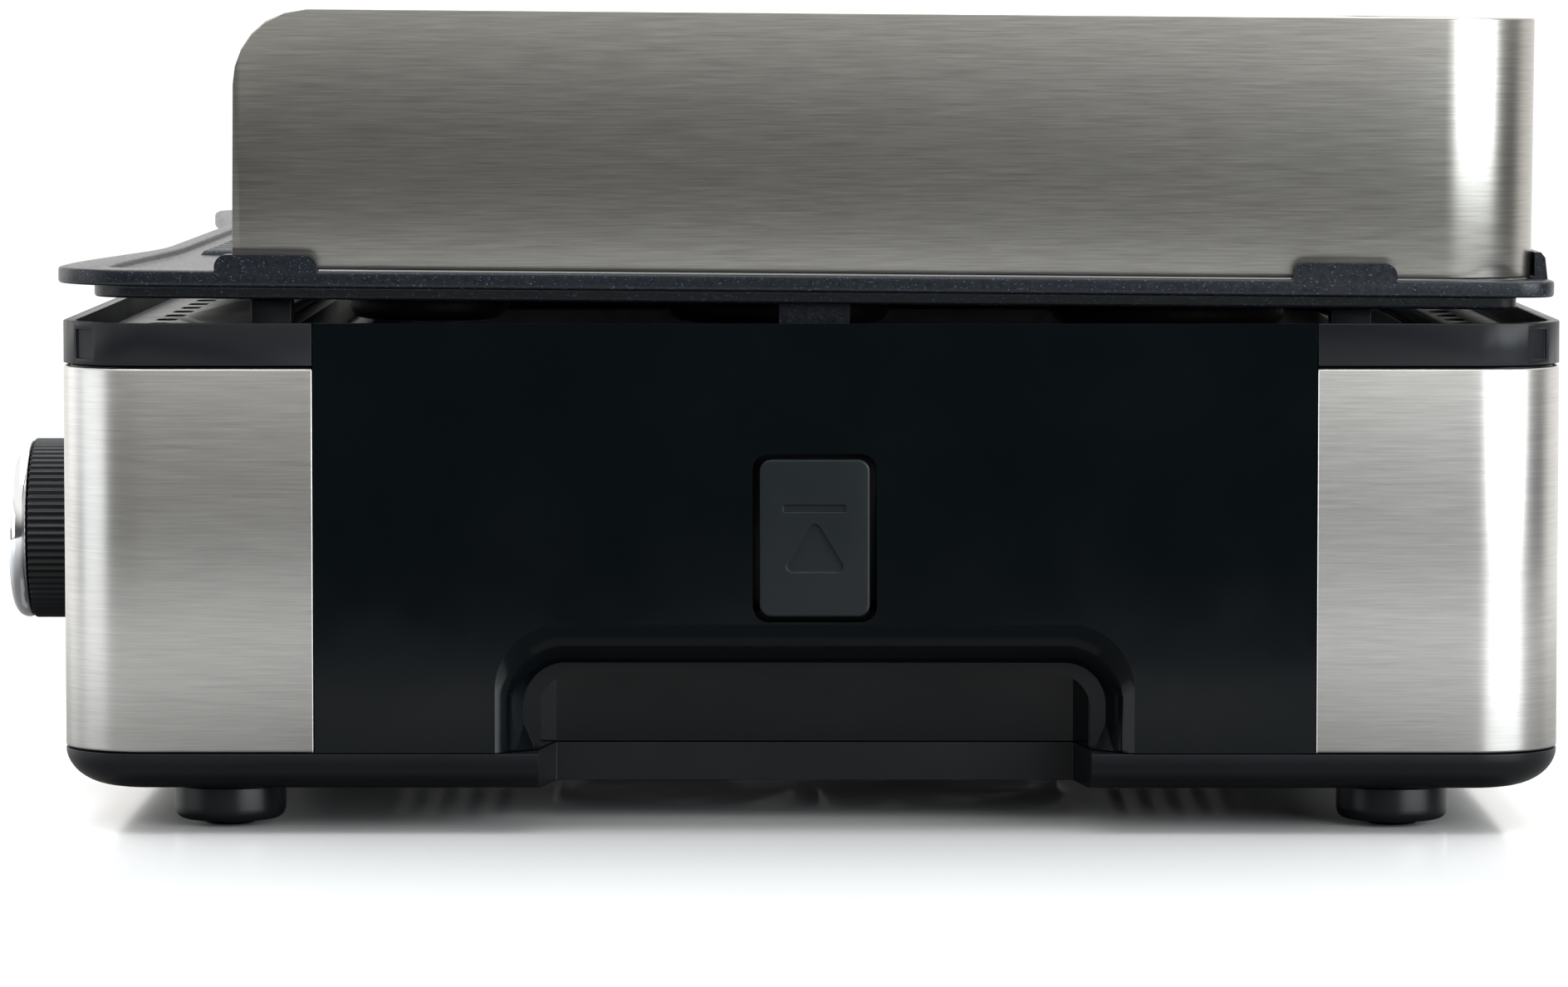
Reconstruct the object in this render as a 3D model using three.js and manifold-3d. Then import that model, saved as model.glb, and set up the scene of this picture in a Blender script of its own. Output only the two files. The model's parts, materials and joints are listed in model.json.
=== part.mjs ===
// Smokeless tabletop grill with a splash guard and a built-in extractor fan.
// Millimetres, +Z up, front at -Y, right side at +X, origin on the table under the base's centre.
import * as THREE from 'three';
import { mergeVertices } from 'three/addons/utils/BufferGeometryUtils.js';
import { ConvexGeometry } from 'three/addons/geometries/ConvexGeometry.js';
import Module from 'manifold-3d';

const wasm = await Module();
wasm.setup();

// ---- driving dimensions ----
const GAP = 0.3;                 // clearance between touching pieces
const WIDTH = 470;               // base, side to side (X)
const DEPTH = 340;               // base, front to rear (Y)
const CORNER_R = 20;             // base, plan corner radius
const HALF_W = WIDTH / 2;
const HALF_D = DEPTH / 2;

const UNDERSIDE_Z = 9.6;         // flat underside of the bottom cover
const SEAM_Z = 18.5;             // joint between bottom cover and housing
const STEEL_TOP_Z = 105.4;
const TRIM_BOTTOM_Z = 106;
const TRIM_TOP_Z = 115.5;
const LEDGE_Z = 110.3;           // top of the ledge inside the trims
const LEDGE_T = 2.7;

const STEEL_T = 1.2;             // steel wrap thickness
const PANEL_T = 3;               // side panel face thickness
const PANEL_HALF = 112.75;       // side panel, half length along Y
const SIDE_Y = 0.85;             // centre line of the side panel, grip and release button

const GRIP = { halfOuter: 72.1, topOuter: 47.8, rOuter: 15, halfInner: 65.9, topInner: 38.3, rInner: 9.5,
  bevelDepth: 9, halfMouth: 62.4, topMouth: 35.8, rMouth: 8, halfBack: 59.2, backDepth: 27, hookZ: 46 };

const BUTTON = { w: 25, h: 35.7, r: 2.75, z: 67.2, slackY: 1.5, slackZ: 1.15, thick: 4.1 };

const TILT = THREE.MathUtils.degToRad(0.48);   // the plate falls toward the rear
const PLATE = { z: 126.2, halfX: 233, front: -171.2, waist: -158.3, waistHalf: 78, rear: 167.8,
  rFront: 20, rRear: 9, rimT: 3.65, skirtInset: 8.2, bottom: -6.7, panFloor: -1.7 };
const PAN_INSET = { side: 12, front: 10.8, waist: 4, rear: 9 };   // width of the rim's top land
const GUTTER = { halfX: 205, front: 136, rear: 155, floor: -3.6 };
const RIB = { right: 89.5, pitch: 14.75, count: 20, base: 5, top: 3.4, crest: -0.15, front: -150, rear: 128 };
const TAB = { thick: 3.3, r: 2.8 };            // tabs round the rim that hold the guard

const GUARD = { x: 229.4, front: -130.4, rear: 164.1, height: 59, sheet: 0.9, rBend: 22, rTop: 17 };
const TUB = { halfX: 202, front: -130, rear: 150, wall: 1.6, floorZ: 58, r: 24, flangeZ: 107.3,
  flangeT: 1.4 };
const KNOB = { x: 130, z: 61.7, r: 21.5, rear: -171.8, bodyFront: -186, capFront: -191 };
const FAN = { x: 85, y: 0, opening: 56, coverR: 64, coverBottom: 4.5 };
const FOOT = { x: 210, y: 133, r: 12.75, padR: 6.5 };
const SCREW = { x: 175, y: 150 };
const SOCKET = { x: -215, y: 60, halfX: 8, halfY: 15 };   // heater socket, in the left panel's shelf
const INLET = { x: -100, z: 45, w: 27.4, h: 19.4 };
const SWITCH = { x: -130, z: 61.7, w: 20, h: 12 };
const LAMP = { x: 92, z: 86, r: 3 };

// ---- colours and finishes ----
const FINISH = {
  steel: [0x8d8a86, 0.32, 1], chrome: [0xc9cbce, 0.1, 1], gloss: [0x0b1217, 0.12, 0],
  trim: [0x232427, 0.5, 0], cast: [0x22252b, 0.45, 0.2], rubber: [0x111213, 0.85, 0],
  plastic: [0x191b1e, 0.5, 0], button: [0x20262a, 0.35, 0], zinc: [0x9a9c9f, 0.4, 1],
  element: [0x4a4744, 0.5, 1], aluminium: [0xb4b6b8, 0.35, 1], board: [0x2c5a3c, 0.6, 0],
  ceramic: [0xd9d4c8, 0.6, 0], lamp: [0xc23a1e, 0.2, 0], brass: [0xb08d4a, 0.35, 1],
};

// ---- solids ----
const BASIS = {
  z: new THREE.Matrix4(),
  x: new THREE.Matrix4().makeBasis(new THREE.Vector3(0, 1, 0), new THREE.Vector3(0, 0, 1),
    new THREE.Vector3(1, 0, 0)),
  y: new THREE.Matrix4().makeBasis(new THREE.Vector3(1, 0, 0), new THREE.Vector3(0, 0, 1),
    new THREE.Vector3(0, -1, 0)),
};

// Turns a closed three.js geometry into a solid that can be joined and cut.
function solid(geometry) {
  const bare = geometry.clone();
  for (const name of Object.keys(bare.attributes)) if (name !== 'position') bare.deleteAttribute(name);
  const merged = mergeVertices(bare, 1e-4);
  const made = new wasm.Manifold(new wasm.Mesh({ numProp: 3,
    vertProperties: new Float32Array(merged.attributes.position.array),
    triVerts: new Uint32Array(merged.index.array) }));
  if (made.volume() <= 0) throw new Error('a solid is inside out');
  return made;
}

// Extrudes a shape along an axis between two stations. Along x the shape's plane is (Y, Z),
// along y it is (X, Z), along z it is (X, Y).
function prism(shape, axis, from, to, curveSegments = 4) {
  const geometry = new THREE.ExtrudeGeometry(shape, { depth: to - from, bevelEnabled: false, curveSegments });
  geometry.applyMatrix4(BASIS[axis]);
  if (axis === 'x') geometry.translate(from, 0, 0);
  if (axis === 'y') geometry.translate(0, to, 0);
  if (axis === 'z') geometry.translate(0, 0, from);
  return solid(geometry);
}

// A rectangle with round corners, given by its four sides.
function roundRect(x0, x1, y0, y1, r) {
  const shape = new THREE.Shape();
  shape.absarc(x1 - r, y0 + r, r, -Math.PI / 2, 0);
  shape.absarc(x1 - r, y1 - r, r, 0, Math.PI / 2);
  shape.absarc(x0 + r, y1 - r, r, Math.PI / 2, Math.PI);
  shape.absarc(x0 + r, y0 + r, r, Math.PI, 1.5 * Math.PI);
  shape.closePath();
  return shape;
}

function polygon(points) {
  return new THREE.Shape(points.map(([x, y]) => new THREE.Vector2(x, y)));
}

// A slot with cut corners at both ends, lying along the shape's x.
function slotShape(x0, x1, y0, y1) {
  const cut = (y1 - y0) * 0.3;
  return polygon([[x0 + cut, y0], [x1 - cut, y0], [x1, y0 + cut], [x1, y1 - cut], [x1 - cut, y1],
    [x0 + cut, y1], [x0, y1 - cut], [x0, y0 + cut]]);
}

function box(x0, x1, y0, y1, z0, z1) {
  const geometry = new THREE.BoxGeometry(x1 - x0, y1 - y0, z1 - z0);
  geometry.translate((x0 + x1) / 2, (y0 + y1) / 2, (z0 + z1) / 2);
  return solid(geometry);
}

// A cylinder along an axis between two stations, with its centre given in the other two.
function rod(axis, a, b, r, from, to, sides = 24) {
  const geometry = new THREE.CylinderGeometry(r, r, to - from, sides);
  geometry.translate(0, (from + to) / 2, 0);
  if (axis === 'z') geometry.rotateX(Math.PI / 2).translate(a, b, 0);
  if (axis === 'x') geometry.rotateZ(-Math.PI / 2).translate(0, a, b);
  if (axis === 'y') geometry.translate(a, 0, b);
  return solid(geometry);
}

// The base's outline, moved inward by an inset.
function baseOutline(inset) {
  return roundRect(-HALF_W + inset, HALF_W - inset, -HALF_D + inset, HALF_D - inset,
    Math.max(CORNER_R - inset, 2));
}

// An upright ring between two insets of the base's outline.
function baseRing(outer, inner, z0, z1) {
  return prism(baseOutline(outer), 'z', z0, z1).subtract(prism(baseOutline(inner), 'z', z0 - 1, z1 + 1));
}

// The stretch of the housing in front of (side -1) or behind (side 1) the side panels.
function endZone(side) {
  const near = SIDE_Y + side * (PANEL_HALF + GAP);
  return side < 0 ? box(-300, 300, -300, near, 0, 200) : box(-300, 300, near, 300, 0, 200);
}

function union(pieces) {
  return pieces.reduce((joined, piece) => joined.add(piece));
}

// ---- the scene graph ----
const model = new THREE.Group();
const upper = new THREE.Group();         // the plate and the guard lie on a slight fall
upper.position.z = PLATE.z;
upper.rotation.x = -TILT;
model.add(upper);

function part(name, made, finish, parent = model) {
  const mesh = made.getMesh();
  const geometry = new THREE.BufferGeometry();
  geometry.setAttribute('position', new THREE.BufferAttribute(mesh.vertProperties, 3));
  geometry.setIndex(new THREE.BufferAttribute(mesh.triVerts, 1));
  const [color, roughness, metalness] = FINISH[finish];
  const node = new THREE.Mesh(geometry, new THREE.MeshStandardMaterial({ color, roughness, metalness }));
  node.name = name;
  parent.add(node);
}

// Builds a piece for the right side, or its mirror image for the left.
function onSide(side, made) {
  return side > 0 ? made : made.mirror([1, 0, 0]);
}

// ---- bottom cover, feet and screws ----
// Plan of the grip pocket: straight at the mouth, then drawn in toward the back wall.
function gripPlan() {
  const mouth = HALF_W - GRIP.bevelDepth;
  const back = HALF_W - GRIP.backDepth;
  return polygon([[back, SIDE_Y - GRIP.halfBack], [mouth, SIDE_Y - GRIP.halfMouth],
    [HALF_W + 5, SIDE_Y - GRIP.halfMouth], [HALF_W + 5, SIDE_Y + GRIP.halfMouth],
    [mouth, SIDE_Y + GRIP.halfMouth], [back, SIDE_Y + GRIP.halfBack]]);
}

function bottomCover() {
  const edgeIn = 12;
  const top = SEAM_Z - GAP / 2;
  const dish = new THREE.ExtrudeGeometry(baseOutline(edgeIn), { depth: 6, bevelEnabled: true,
    bevelSize: edgeIn, bevelThickness: SEAM_Z - UNDERSIDE_Z, bevelSegments: 3, curveSegments: 2 });
  dish.translate(0, 0, SEAM_Z);
  let cover = solid(dish).intersect(box(-300, 300, -300, 300, UNDERSIDE_Z, top));
  cover = cover.subtract(prism(baseOutline(6), 'z', 14, 30));
  const edge = HALF_W - 5;
  const wall = prism(roundRect(HALF_W - GRIP.backDepth - 2.5, edge, SIDE_Y - 66, SIDE_Y + 66, 2), 'z',
    UNDERSIDE_Z, top);
  const notch = prism(gripPlan(), 'z', 5, 30);
  for (const side of [1, -1]) cover = cover.add(onSide(side, wall)).subtract(onSide(side, notch));
  for (const [x, y] of screwPlaces()) {
    cover = cover.add(rod('z', x, y, 6.5, UNDERSIDE_Z, top, 16)).subtract(rod('z', x, y, 4.5, 5, 14.9, 16))
      .subtract(rod('z', x, y, 2.2, 5, 30, 12));
  }
  cover = cover.subtract(rod('z', FAN.x, FAN.y, FAN.opening, 5, 30, 32));
  const slots = [];
  for (const side of [1, -1]) {
    for (let i = 0; i < 7; i += 1) {
      const y = side * (76 + i * 7);
      slots.push(prism(slotShape(FAN.x - 32, FAN.x + 32, y - 1.75, y + 1.75), 'z', 5, 30));
    }
  }
  return cover.subtract(union(slots));
}

function screwPlaces() {
  return [[1, -1], [-1, -1], [1, 1], [-1, 1]].map(([sx, sy]) => [sx * SCREW.x, sy * SCREW.y]);
}

function foot(x, y) {
  const top = UNDERSIDE_Z - GAP;
  const body = rod('z', x, y, FOOT.r, 1.3, top, 24);
  return body.subtract(rod('z', x, y, FOOT.padR + GAP, 0, 3.2, 16));
}

function screw(x, y) {
  return rod('z', x, y, 4, 12.2, 14.5, 16).add(rod('z', x, y, 1.8, 14.4, 36, 10));
}

// ---- housing ----
function chassis() {
  const top = STEEL_TOP_Z + GAP / 2;
  let ring = baseRing(STEEL_T + GAP, STEEL_T + GAP + 4.4, SEAM_Z + GAP / 2, top);
  const thin = prism(baseOutline(STEEL_T + GAP + 2.2), 'z', 0, 200)
    .intersect(endZone(-1).add(endZone(1)));
  ring = ring.subtract(thin.subtract(box(-300, 300, -150, 150, 0, 200)));
  const halfZone = PANEL_HALF + 2 * GAP;
  const sidePocket = box(HALF_W - PANEL_T - GAP, 300, SIDE_Y - halfZone, SIDE_Y + halfZone, 0, 200);
  const gripRoom = box(200, 300, SIDE_Y - 78, SIDE_Y + 78, 0, 53);
  const buttonRoom = box(200, 300, SIDE_Y - 16.5, SIDE_Y + 16.5, 40, 90);
  for (const side of [1, -1]) {
    ring = ring.subtract(onSide(side, sidePocket)).subtract(onSide(side, gripRoom))
      .subtract(onSide(side, buttonRoom));
  }
  for (const [x, y] of screwPlaces()) {
    const out = Math.sign(y);
    const web = out > 0 ? box(x - 2, x + 2, y, HALF_D - 3, 22, 45) : box(x - 2, x + 2, 3 - HALF_D, y, 22, 45);
    ring = ring.add(rod('z', x, y, 5, SEAM_Z + GAP / 2, 45, 16)).add(web)
      .subtract(rod('z', x, y, 2.1, 0, 38, 10));
  }
  return ring.subtract(frontHoles()).subtract(inletHole());
}

function frontHoles() {
  const knob = rod('y', KNOB.x, KNOB.z, 5.6, -180, -160, 20);
  const lamp = rod('y', LAMP.x, LAMP.z, LAMP.r + GAP, -180, -160, 12);
  const fan = prism(roundRect(SWITCH.x - SWITCH.w / 2 - 0.4, SWITCH.x + SWITCH.w / 2 + 0.4,
    SWITCH.z - SWITCH.h / 2 - 0.4, SWITCH.z + SWITCH.h / 2 + 0.4, 2.4), 'y', -180, -160, 2);
  return knob.add(lamp).add(fan);
}

function inletHole() {
  const w = INLET.w / 2 + GAP;
  const h = INLET.h / 2 + GAP;
  return box(INLET.x - w, INLET.x + w, 160, 180, INLET.z - h, INLET.z + h);
}

function steelWrap(side) {
  const band = baseRing(0, STEEL_T, SEAM_Z + GAP / 2, STEEL_TOP_Z).intersect(endZone(side));
  return side < 0 ? band.subtract(frontHoles()) : band.subtract(inletHole());
}

// Top trim: an upright wall flush with the steel, and a ledge with a row of air slots.
function trim(side) {
  let made = baseRing(0, 2.8, TRIM_BOTTOM_Z, TRIM_TOP_Z);
  const mouth = roundRect(-TUB.halfX - 3, TUB.halfX + 3, TUB.front - 3, TUB.rear + 1, TUB.r);
  const opening = prism(mouth, 'z', 0, 200);
  made = made.add(prism(baseOutline(2), 'z', LEDGE_Z - LEDGE_T, LEDGE_Z).subtract(opening));
  made = made.intersect(endZone(side));
  const slots = [];
  for (let i = 0; i < 18; i += 1) {
    const x = (i - 8.5) * 22;
    slots.push(prism(slotShape(x - 6, x + 6, side * 157.2 - 2.4, side * 157.2 + 2.4), 'z', 90, 120));
  }
  made = made.subtract(union(slots));
  for (const across of [1, -1]) {
    const rest = PLATE.z + PLATE.bottom - side * 122.5 * Math.tan(TILT) - 1.3 * GAP;
    made = made.add(box(across * 213 - 5, across * 213 + 5, side * 122.5 - 4.5, side * 122.5 + 4.5,
      LEDGE_Z - 1, rest));
    made = made.subtract(cornerNotch(across, side));
  }
  return made;
}

// A shallow rectangular mark across a corner of the trim.
function cornerNotch(across, side) {
  const geometry = new THREE.BoxGeometry(1.6, 5.6, 6.6);
  geometry.translate(CORNER_R, 0, 0).rotateZ(Math.atan2(side, across));
  geometry.translate(across * (HALF_W - CORNER_R), side * (HALF_D - CORNER_R), 110.6);
  return solid(geometry);
}

// Arch of the carry grip, open downward: straight legs, two round corners and a flat top.
function archShape(half, top, r, bottom) {
  const shape = new THREE.Shape();
  shape.moveTo(SIDE_Y - half, bottom);
  shape.lineTo(SIDE_Y + half, bottom);
  shape.absarc(SIDE_Y + half - r, top - r, r, 0, Math.PI / 2);
  shape.absarc(SIDE_Y - half + r, top - r, r, Math.PI / 2, Math.PI);
  shape.closePath();
  return shape;
}

// Cutter for the funnel of the grip: the outer arch drawn in to the inner arch over its depth.
function gripFunnel() {
  const bottom = SEAM_Z - 10;
  const over = 1;
  const arch = archShape(GRIP.halfOuter, GRIP.topOuter, GRIP.rOuter, bottom);
  const geometry = new THREE.ExtrudeGeometry(arch, { depth: 1, bevelEnabled: false, curveSegments: 4 });
  geometry.applyMatrix4(BASIS.x);
  const p = geometry.attributes.position;
  const yc = GRIP.halfOuter - GRIP.rOuter;
  const zc = GRIP.topOuter - GRIP.rOuter;
  const yc2 = GRIP.halfInner - GRIP.rInner;
  const zc2 = GRIP.topInner - GRIP.rInner;
  const slope = (1 + over / GRIP.bevelDepth);
  for (let i = 0; i < p.count; i += 1) {
    const y = p.getY(i) - SIDE_Y;
    const z = p.getZ(i);
    const ay = Math.abs(y);
    let y2 = GRIP.halfInner;
    let z2 = bottom + (z - bottom) * (zc2 - bottom) / (zc - bottom);
    if (z > zc) {
      y2 = ay > yc ? yc2 + (ay - yc) * GRIP.rInner / GRIP.rOuter : ay * yc2 / yc;
      z2 = zc2 + (z - zc) * GRIP.rInner / GRIP.rOuter;
    }
    y2 *= Math.sign(y);
    if (p.getX(i) > 0.5) p.setXYZ(i, HALF_W + over, SIDE_Y + y2 + (y - y2) * slope, z2 + (z - z2) * slope);
    else p.setXYZ(i, HALF_W - GRIP.bevelDepth, SIDE_Y + y2, z2);
  }
  return solid(geometry);
}

// The facet that closes each leg of the funnel above the seam.
function gripFacet(end) {
  const inner = HALF_W - GRIP.bevelDepth - 1;
  const z = SEAM_Z + GAP / 2;
  const at = (x, y, height) => new THREE.Vector3(x, SIDE_Y + end * y, height);
  return solid(new ConvexGeometry([at(HALF_W - 0.2, GRIP.halfOuter - 0.1, z), at(inner, GRIP.halfOuter, z),
    at(inner, GRIP.halfInner, 29), at(inner, GRIP.halfMouth, z), at(inner, GRIP.halfOuter, 29)]));
}

function sidePanel(side) {
  const z0 = SEAM_Z + GAP / 2;
  const y0 = SIDE_Y - PANEL_HALF;
  const y1 = SIDE_Y + PANEL_HALF;
  let panel = box(HALF_W - PANEL_T, HALF_W, y0, y1, z0, TRIM_TOP_Z);
  panel = panel.add(box(TUB.halfX + 3, HALF_W - 1, y0, y1, LEDGE_Z - LEDGE_T, LEDGE_Z));
  panel = panel.add(box(HALF_W - GRIP.backDepth - 2, HALF_W - 1, SIDE_Y - 75, SIDE_Y + 75, z0, 50));
  panel = panel.subtract(gripFunnel());
  const mouth = archShape(GRIP.halfMouth, GRIP.topMouth, GRIP.rMouth, SEAM_Z - 10);
  panel = panel.subtract(prism(mouth, 'x', HALF_W - GRIP.bevelDepth - 4, HALF_W));
  panel = panel.add(gripFacet(1)).add(gripFacet(-1));
  const cavity = prism(gripPlan(), 'z', 5, GRIP.hookZ)
    .intersect(box(0, HALF_W - GRIP.bevelDepth - 3, -200, 200, 0, 200));
  panel = panel.subtract(cavity);
  panel = panel.subtract(box(TUB.halfX + 6, 222.5, SIDE_Y - 10, SIDE_Y + 10, 100, 120));
  const w = BUTTON.w / 2 + BUTTON.slackY;
  const h = BUTTON.h / 2 + BUTTON.slackZ;
  const opening = roundRect(SIDE_Y - w, SIDE_Y + w, BUTTON.z - h, BUTTON.z + h, 3.6);
  panel = panel.subtract(prism(opening, 'x', 225, 240));
  panel = onSide(side, panel);
  return side < 0 ? panel.subtract(socketRoom()) : panel;
}

// ---- tub, tray and heater socket ----
function tub() {
  const { halfX, front, rear, wall, floorZ, r, flangeZ, flangeT } = TUB;
  let made = prism(roundRect(-halfX, halfX, front, rear, r), 'z', floorZ, flangeZ);
  const flange = roundRect(3.8 - HALF_W, HALF_W - 3.8, -148, 152.5, 4);
  made = made.add(prism(flange, 'z', flangeZ - flangeT, flangeZ));
  made = made.subtract(prism(roundRect(wall - halfX, halfX - wall, front + wall, rear - wall, r - wall), 'z',
    floorZ + 2, flangeZ + 5));
  for (const side of [1, -1]) {
    made = made.subtract(onSide(side, box(halfX + 4, 224, SIDE_Y - 11, SIDE_Y + 11, 100, 120)));
  }
  return made.subtract(socketRoom());
}

function dripTray() {
  const { halfX, front, rear, wall, floorZ, r } = TUB;
  const side = wall + 3.4;
  const outline = (inset) => roundRect(inset - halfX, halfX - inset, front + inset, rear - inset, r - inset);
  const bottom = floorZ + 2 + GAP;
  const shell = prism(outline(side), 'z', bottom, 100).add(prism(outline(wall + 1), 'z', 98.8, 100));
  return shell.subtract(prism(outline(side + 1), 'z', bottom + 1.2, 110));
}

function socketRoom() {
  return box(SOCKET.x - SOCKET.halfX - GAP, SOCKET.x + SOCKET.halfX + GAP, SOCKET.y - SOCKET.halfY - GAP,
    SOCKET.y + SOCKET.halfY + GAP, 90, 112);
}

function heaterSocket() {
  const { x, y, halfX, halfY } = SOCKET;
  const top = LEDGE_Z + GAP + 1.6;
  let made = box(x - halfX, x + halfX, y - halfY, y + halfY, 90, top);
  made = made.add(box(x - halfX - 1.6, x + halfX + 1.6, y - halfY - 2, y + halfY + 2, LEDGE_Z + GAP, top));
  for (const end of [1, -1]) made = made.subtract(rod('z', x, y + end * 8, 3, 94, 120, 12));
  return made;
}

// The heater's plug block hangs under the plate; its two pins stand in the socket.
function heaterPlug() {
  const { x, y } = SOCKET;
  let made = box(x - 7, x + 7, y - 14, y + 14, -12.6, PLATE.bottom - GAP);
  for (const end of [1, -1]) made = made.add(rod('z', x, y + end * 8, 1.9, -26, -12, 12));
  return made;
}

// ---- plate ----
// The plate's outline, moved inward by an inset for each edge: the front edge is drawn in
// along its middle.
function plateOutline({ side, front, waist, rear }) {
  const hx = PLATE.halfX - side;
  const y1 = PLATE.rear - rear;
  const y0 = PLATE.front + front;
  const yw = PLATE.waist + waist;
  const rf = Math.max(PLATE.rFront - front, 6);
  const rr = Math.max(PLATE.rRear - rear, 4);
  const bend = PLATE.waistHalf + 45;
  const shape = new THREE.Shape();
  shape.moveTo(-PLATE.waistHalf, yw);
  shape.lineTo(PLATE.waistHalf, yw);
  shape.bezierCurveTo(bend, yw, hx - rf - 45, y0, hx - rf, y0);
  shape.absarc(hx - rf, y0 + rf, rf, -Math.PI / 2, 0);
  shape.absarc(hx - rr, y1 - rr, rr, 0, Math.PI / 2);
  shape.absarc(rr - hx, y1 - rr, rr, Math.PI / 2, Math.PI);
  shape.absarc(rf - hx, y0 + rf, rf, Math.PI, 1.5 * Math.PI);
  shape.bezierCurveTo(rf + 45 - hx, y0, -bend, yw, -PLATE.waistHalf, yw);
  return shape;
}

function evenInset(inset) {
  return { side: inset, front: inset, waist: inset, rear: inset };
}

// A low tab with round upper corners, drawn in a plane of (run, height).
function tabShape(from, to, height, base = -1) {
  const { r } = TAB;
  const shape = new THREE.Shape();
  shape.moveTo(from, base);
  shape.lineTo(to, base);
  shape.absarc(to - r, height - r, r, 0, Math.PI / 2);
  shape.absarc(from + r, height - r, r, Math.PI / 2, Math.PI);
  shape.closePath();
  return shape;
}

function grillPlate() {
  let made = prism(plateOutline(evenInset(0)), 'z', -PLATE.rimT, 0);
  made = made.add(prism(plateOutline(evenInset(PLATE.skirtInset)), 'z', PLATE.bottom, -1));
  made = made.subtract(prism(plateOutline(PAN_INSET), 'z', PLATE.panFloor, 5));
  const gutter = roundRect(-GUTTER.halfX, GUTTER.halfX, GUTTER.front, GUTTER.rear, 6);
  made = made.subtract(prism(gutter, 'z', GUTTER.floor, 5));
  for (let i = 0; i < RIB.count; i += 1) {
    const x = RIB.right - i * RIB.pitch;
    const base = PLATE.panFloor - 0.4;
    const rib = polygon([[x - RIB.base / 2, base], [x + RIB.base / 2, base], [x + RIB.top / 2, RIB.crest],
      [x - RIB.top / 2, RIB.crest]]);
    made = made.add(prism(rib, 'y', RIB.front, RIB.rear));
  }
  for (const x of [-120, 0, 120]) {
    made = made.subtract(prism(roundRect(x - 18, x + 18, 137.5, 143.5, 2.9), 'z', -20, 20, 3));
  }
  const slit = GUARD.x + GAP;
  const inner = GUARD.x - GUARD.sheet - GAP;
  const rear = GUARD.rear + GAP;
  const rearTab = polygon([[rear, -1], [PLATE.rear - 0.4, -1], [PLATE.rear - 0.4, 0], [rear + 2.4, 4.8],
    [rear + 1.4, 6], [rear, 6]]);
  for (const side of [1, -1]) {
    for (const [from, to, height] of [[-134.2, -111.1, 3.6], [108.3, 131.7, 3.8]]) {
      made = made.add(onSide(side, prism(tabShape(from, to, height), 'x', slit, slit + TAB.thick)));
      made = made.add(onSide(side, prism(tabShape(from, to, height), 'x', inner - 2.4, inner)));
    }
    made = made.add(prism(rearTab, 'x', side * 202 - 12, side * 202 + 12));
    made = made.add(onSide(side, box(217.4, 220.4, SIDE_Y - 8, SIDE_Y + 8, -15.4, PLATE.bottom + 0.2)));
  }
  return made;
}

// Heating element: one tube laid in a serpentine under the plate, both ends at the plug.
function heatingElement() {
  const r = 3.25;
  const z = PLATE.bottom - GAP - r;
  const path = new THREE.Path();
  const lanes = [60, 15, -30, -75];
  path.moveTo(-204, 68);
  path.lineTo(-190, 68);
  path.absarc(-190, 88, 20, -Math.PI / 2, 0, false);
  path.absarc(-150, 88, 20, Math.PI, Math.PI / 2, true);
  path.lineTo(160, 108);
  path.absarc(160, 84, 24, Math.PI / 2, -Math.PI / 2, true);
  path.lineTo(-130, lanes[0]);
  path.absarc(-130, (lanes[0] + lanes[1]) / 2, 22.5, Math.PI / 2, 1.5 * Math.PI, false);
  path.lineTo(160, lanes[1]);
  path.absarc(160, (lanes[1] + lanes[2]) / 2, 22.5, Math.PI / 2, -Math.PI / 2, true);
  path.lineTo(-130, lanes[2]);
  path.absarc(-130, (lanes[2] + lanes[3]) / 2, 22.5, Math.PI / 2, 1.5 * Math.PI, false);
  path.lineTo(160, lanes[3]);
  path.absarc(160, -90, 15, Math.PI / 2, -Math.PI / 2, true);
  path.lineTo(-165, -105);
  path.absarc(-165, -85, 20, 1.5 * Math.PI, Math.PI, true);
  path.lineTo(-185, 32);
  path.absarc(-205, 32, 20, 0, Math.PI / 2, false);
  const points = path.getPoints(6).map((p) => new THREE.Vector3(p.x, p.y, z));
  const spread = points.filter((p, i) => i === 0 || p.distanceTo(points[i - 1]) > 0.5);
  const line = new THREE.CurvePath();
  for (let i = 1; i < spread.length; i += 1) line.add(new THREE.LineCurve3(spread[i - 1], spread[i]));
  const section = new THREE.Shape().absarc(0, 0, r, 0, 2 * Math.PI);
  return solid(new THREE.ExtrudeGeometry(section, { steps: 120, bevelEnabled: false, curveSegments: 3,
    extrudePath: line }));
}

// A strap that holds the element up to the plate.
function heaterClip(x, y) {
  const top = PLATE.bottom - GAP;
  const strap = box(x - 4, x + 4, y - 6.5, y + 6.5, top - 8.2, top);
  return strap.subtract(box(x - 5, x + 5, y - 4, y + 4, top - 7, top + 1));
}

function splashGuard() {
  const { x, front, rear, height, sheet, rBend, rTop } = GUARD;
  const outer = prism(roundRect(-x, x, front - 60, rear, rBend), 'z', GAP, height);
  const inner = prism(roundRect(sheet - x, x - sheet, front - 80, rear - sheet, rBend - sheet), 'z', -5, 80);
  const side = new THREE.Shape();
  side.moveTo(front, 0);
  side.lineTo(rear + 5, 0);
  side.lineTo(rear + 5, height);
  side.absarc(front + rTop, height - rTop, rTop, Math.PI / 2, Math.PI);
  side.closePath();
  return outer.subtract(inner).intersect(prism(side, 'x', -300, 300));
}

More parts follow.
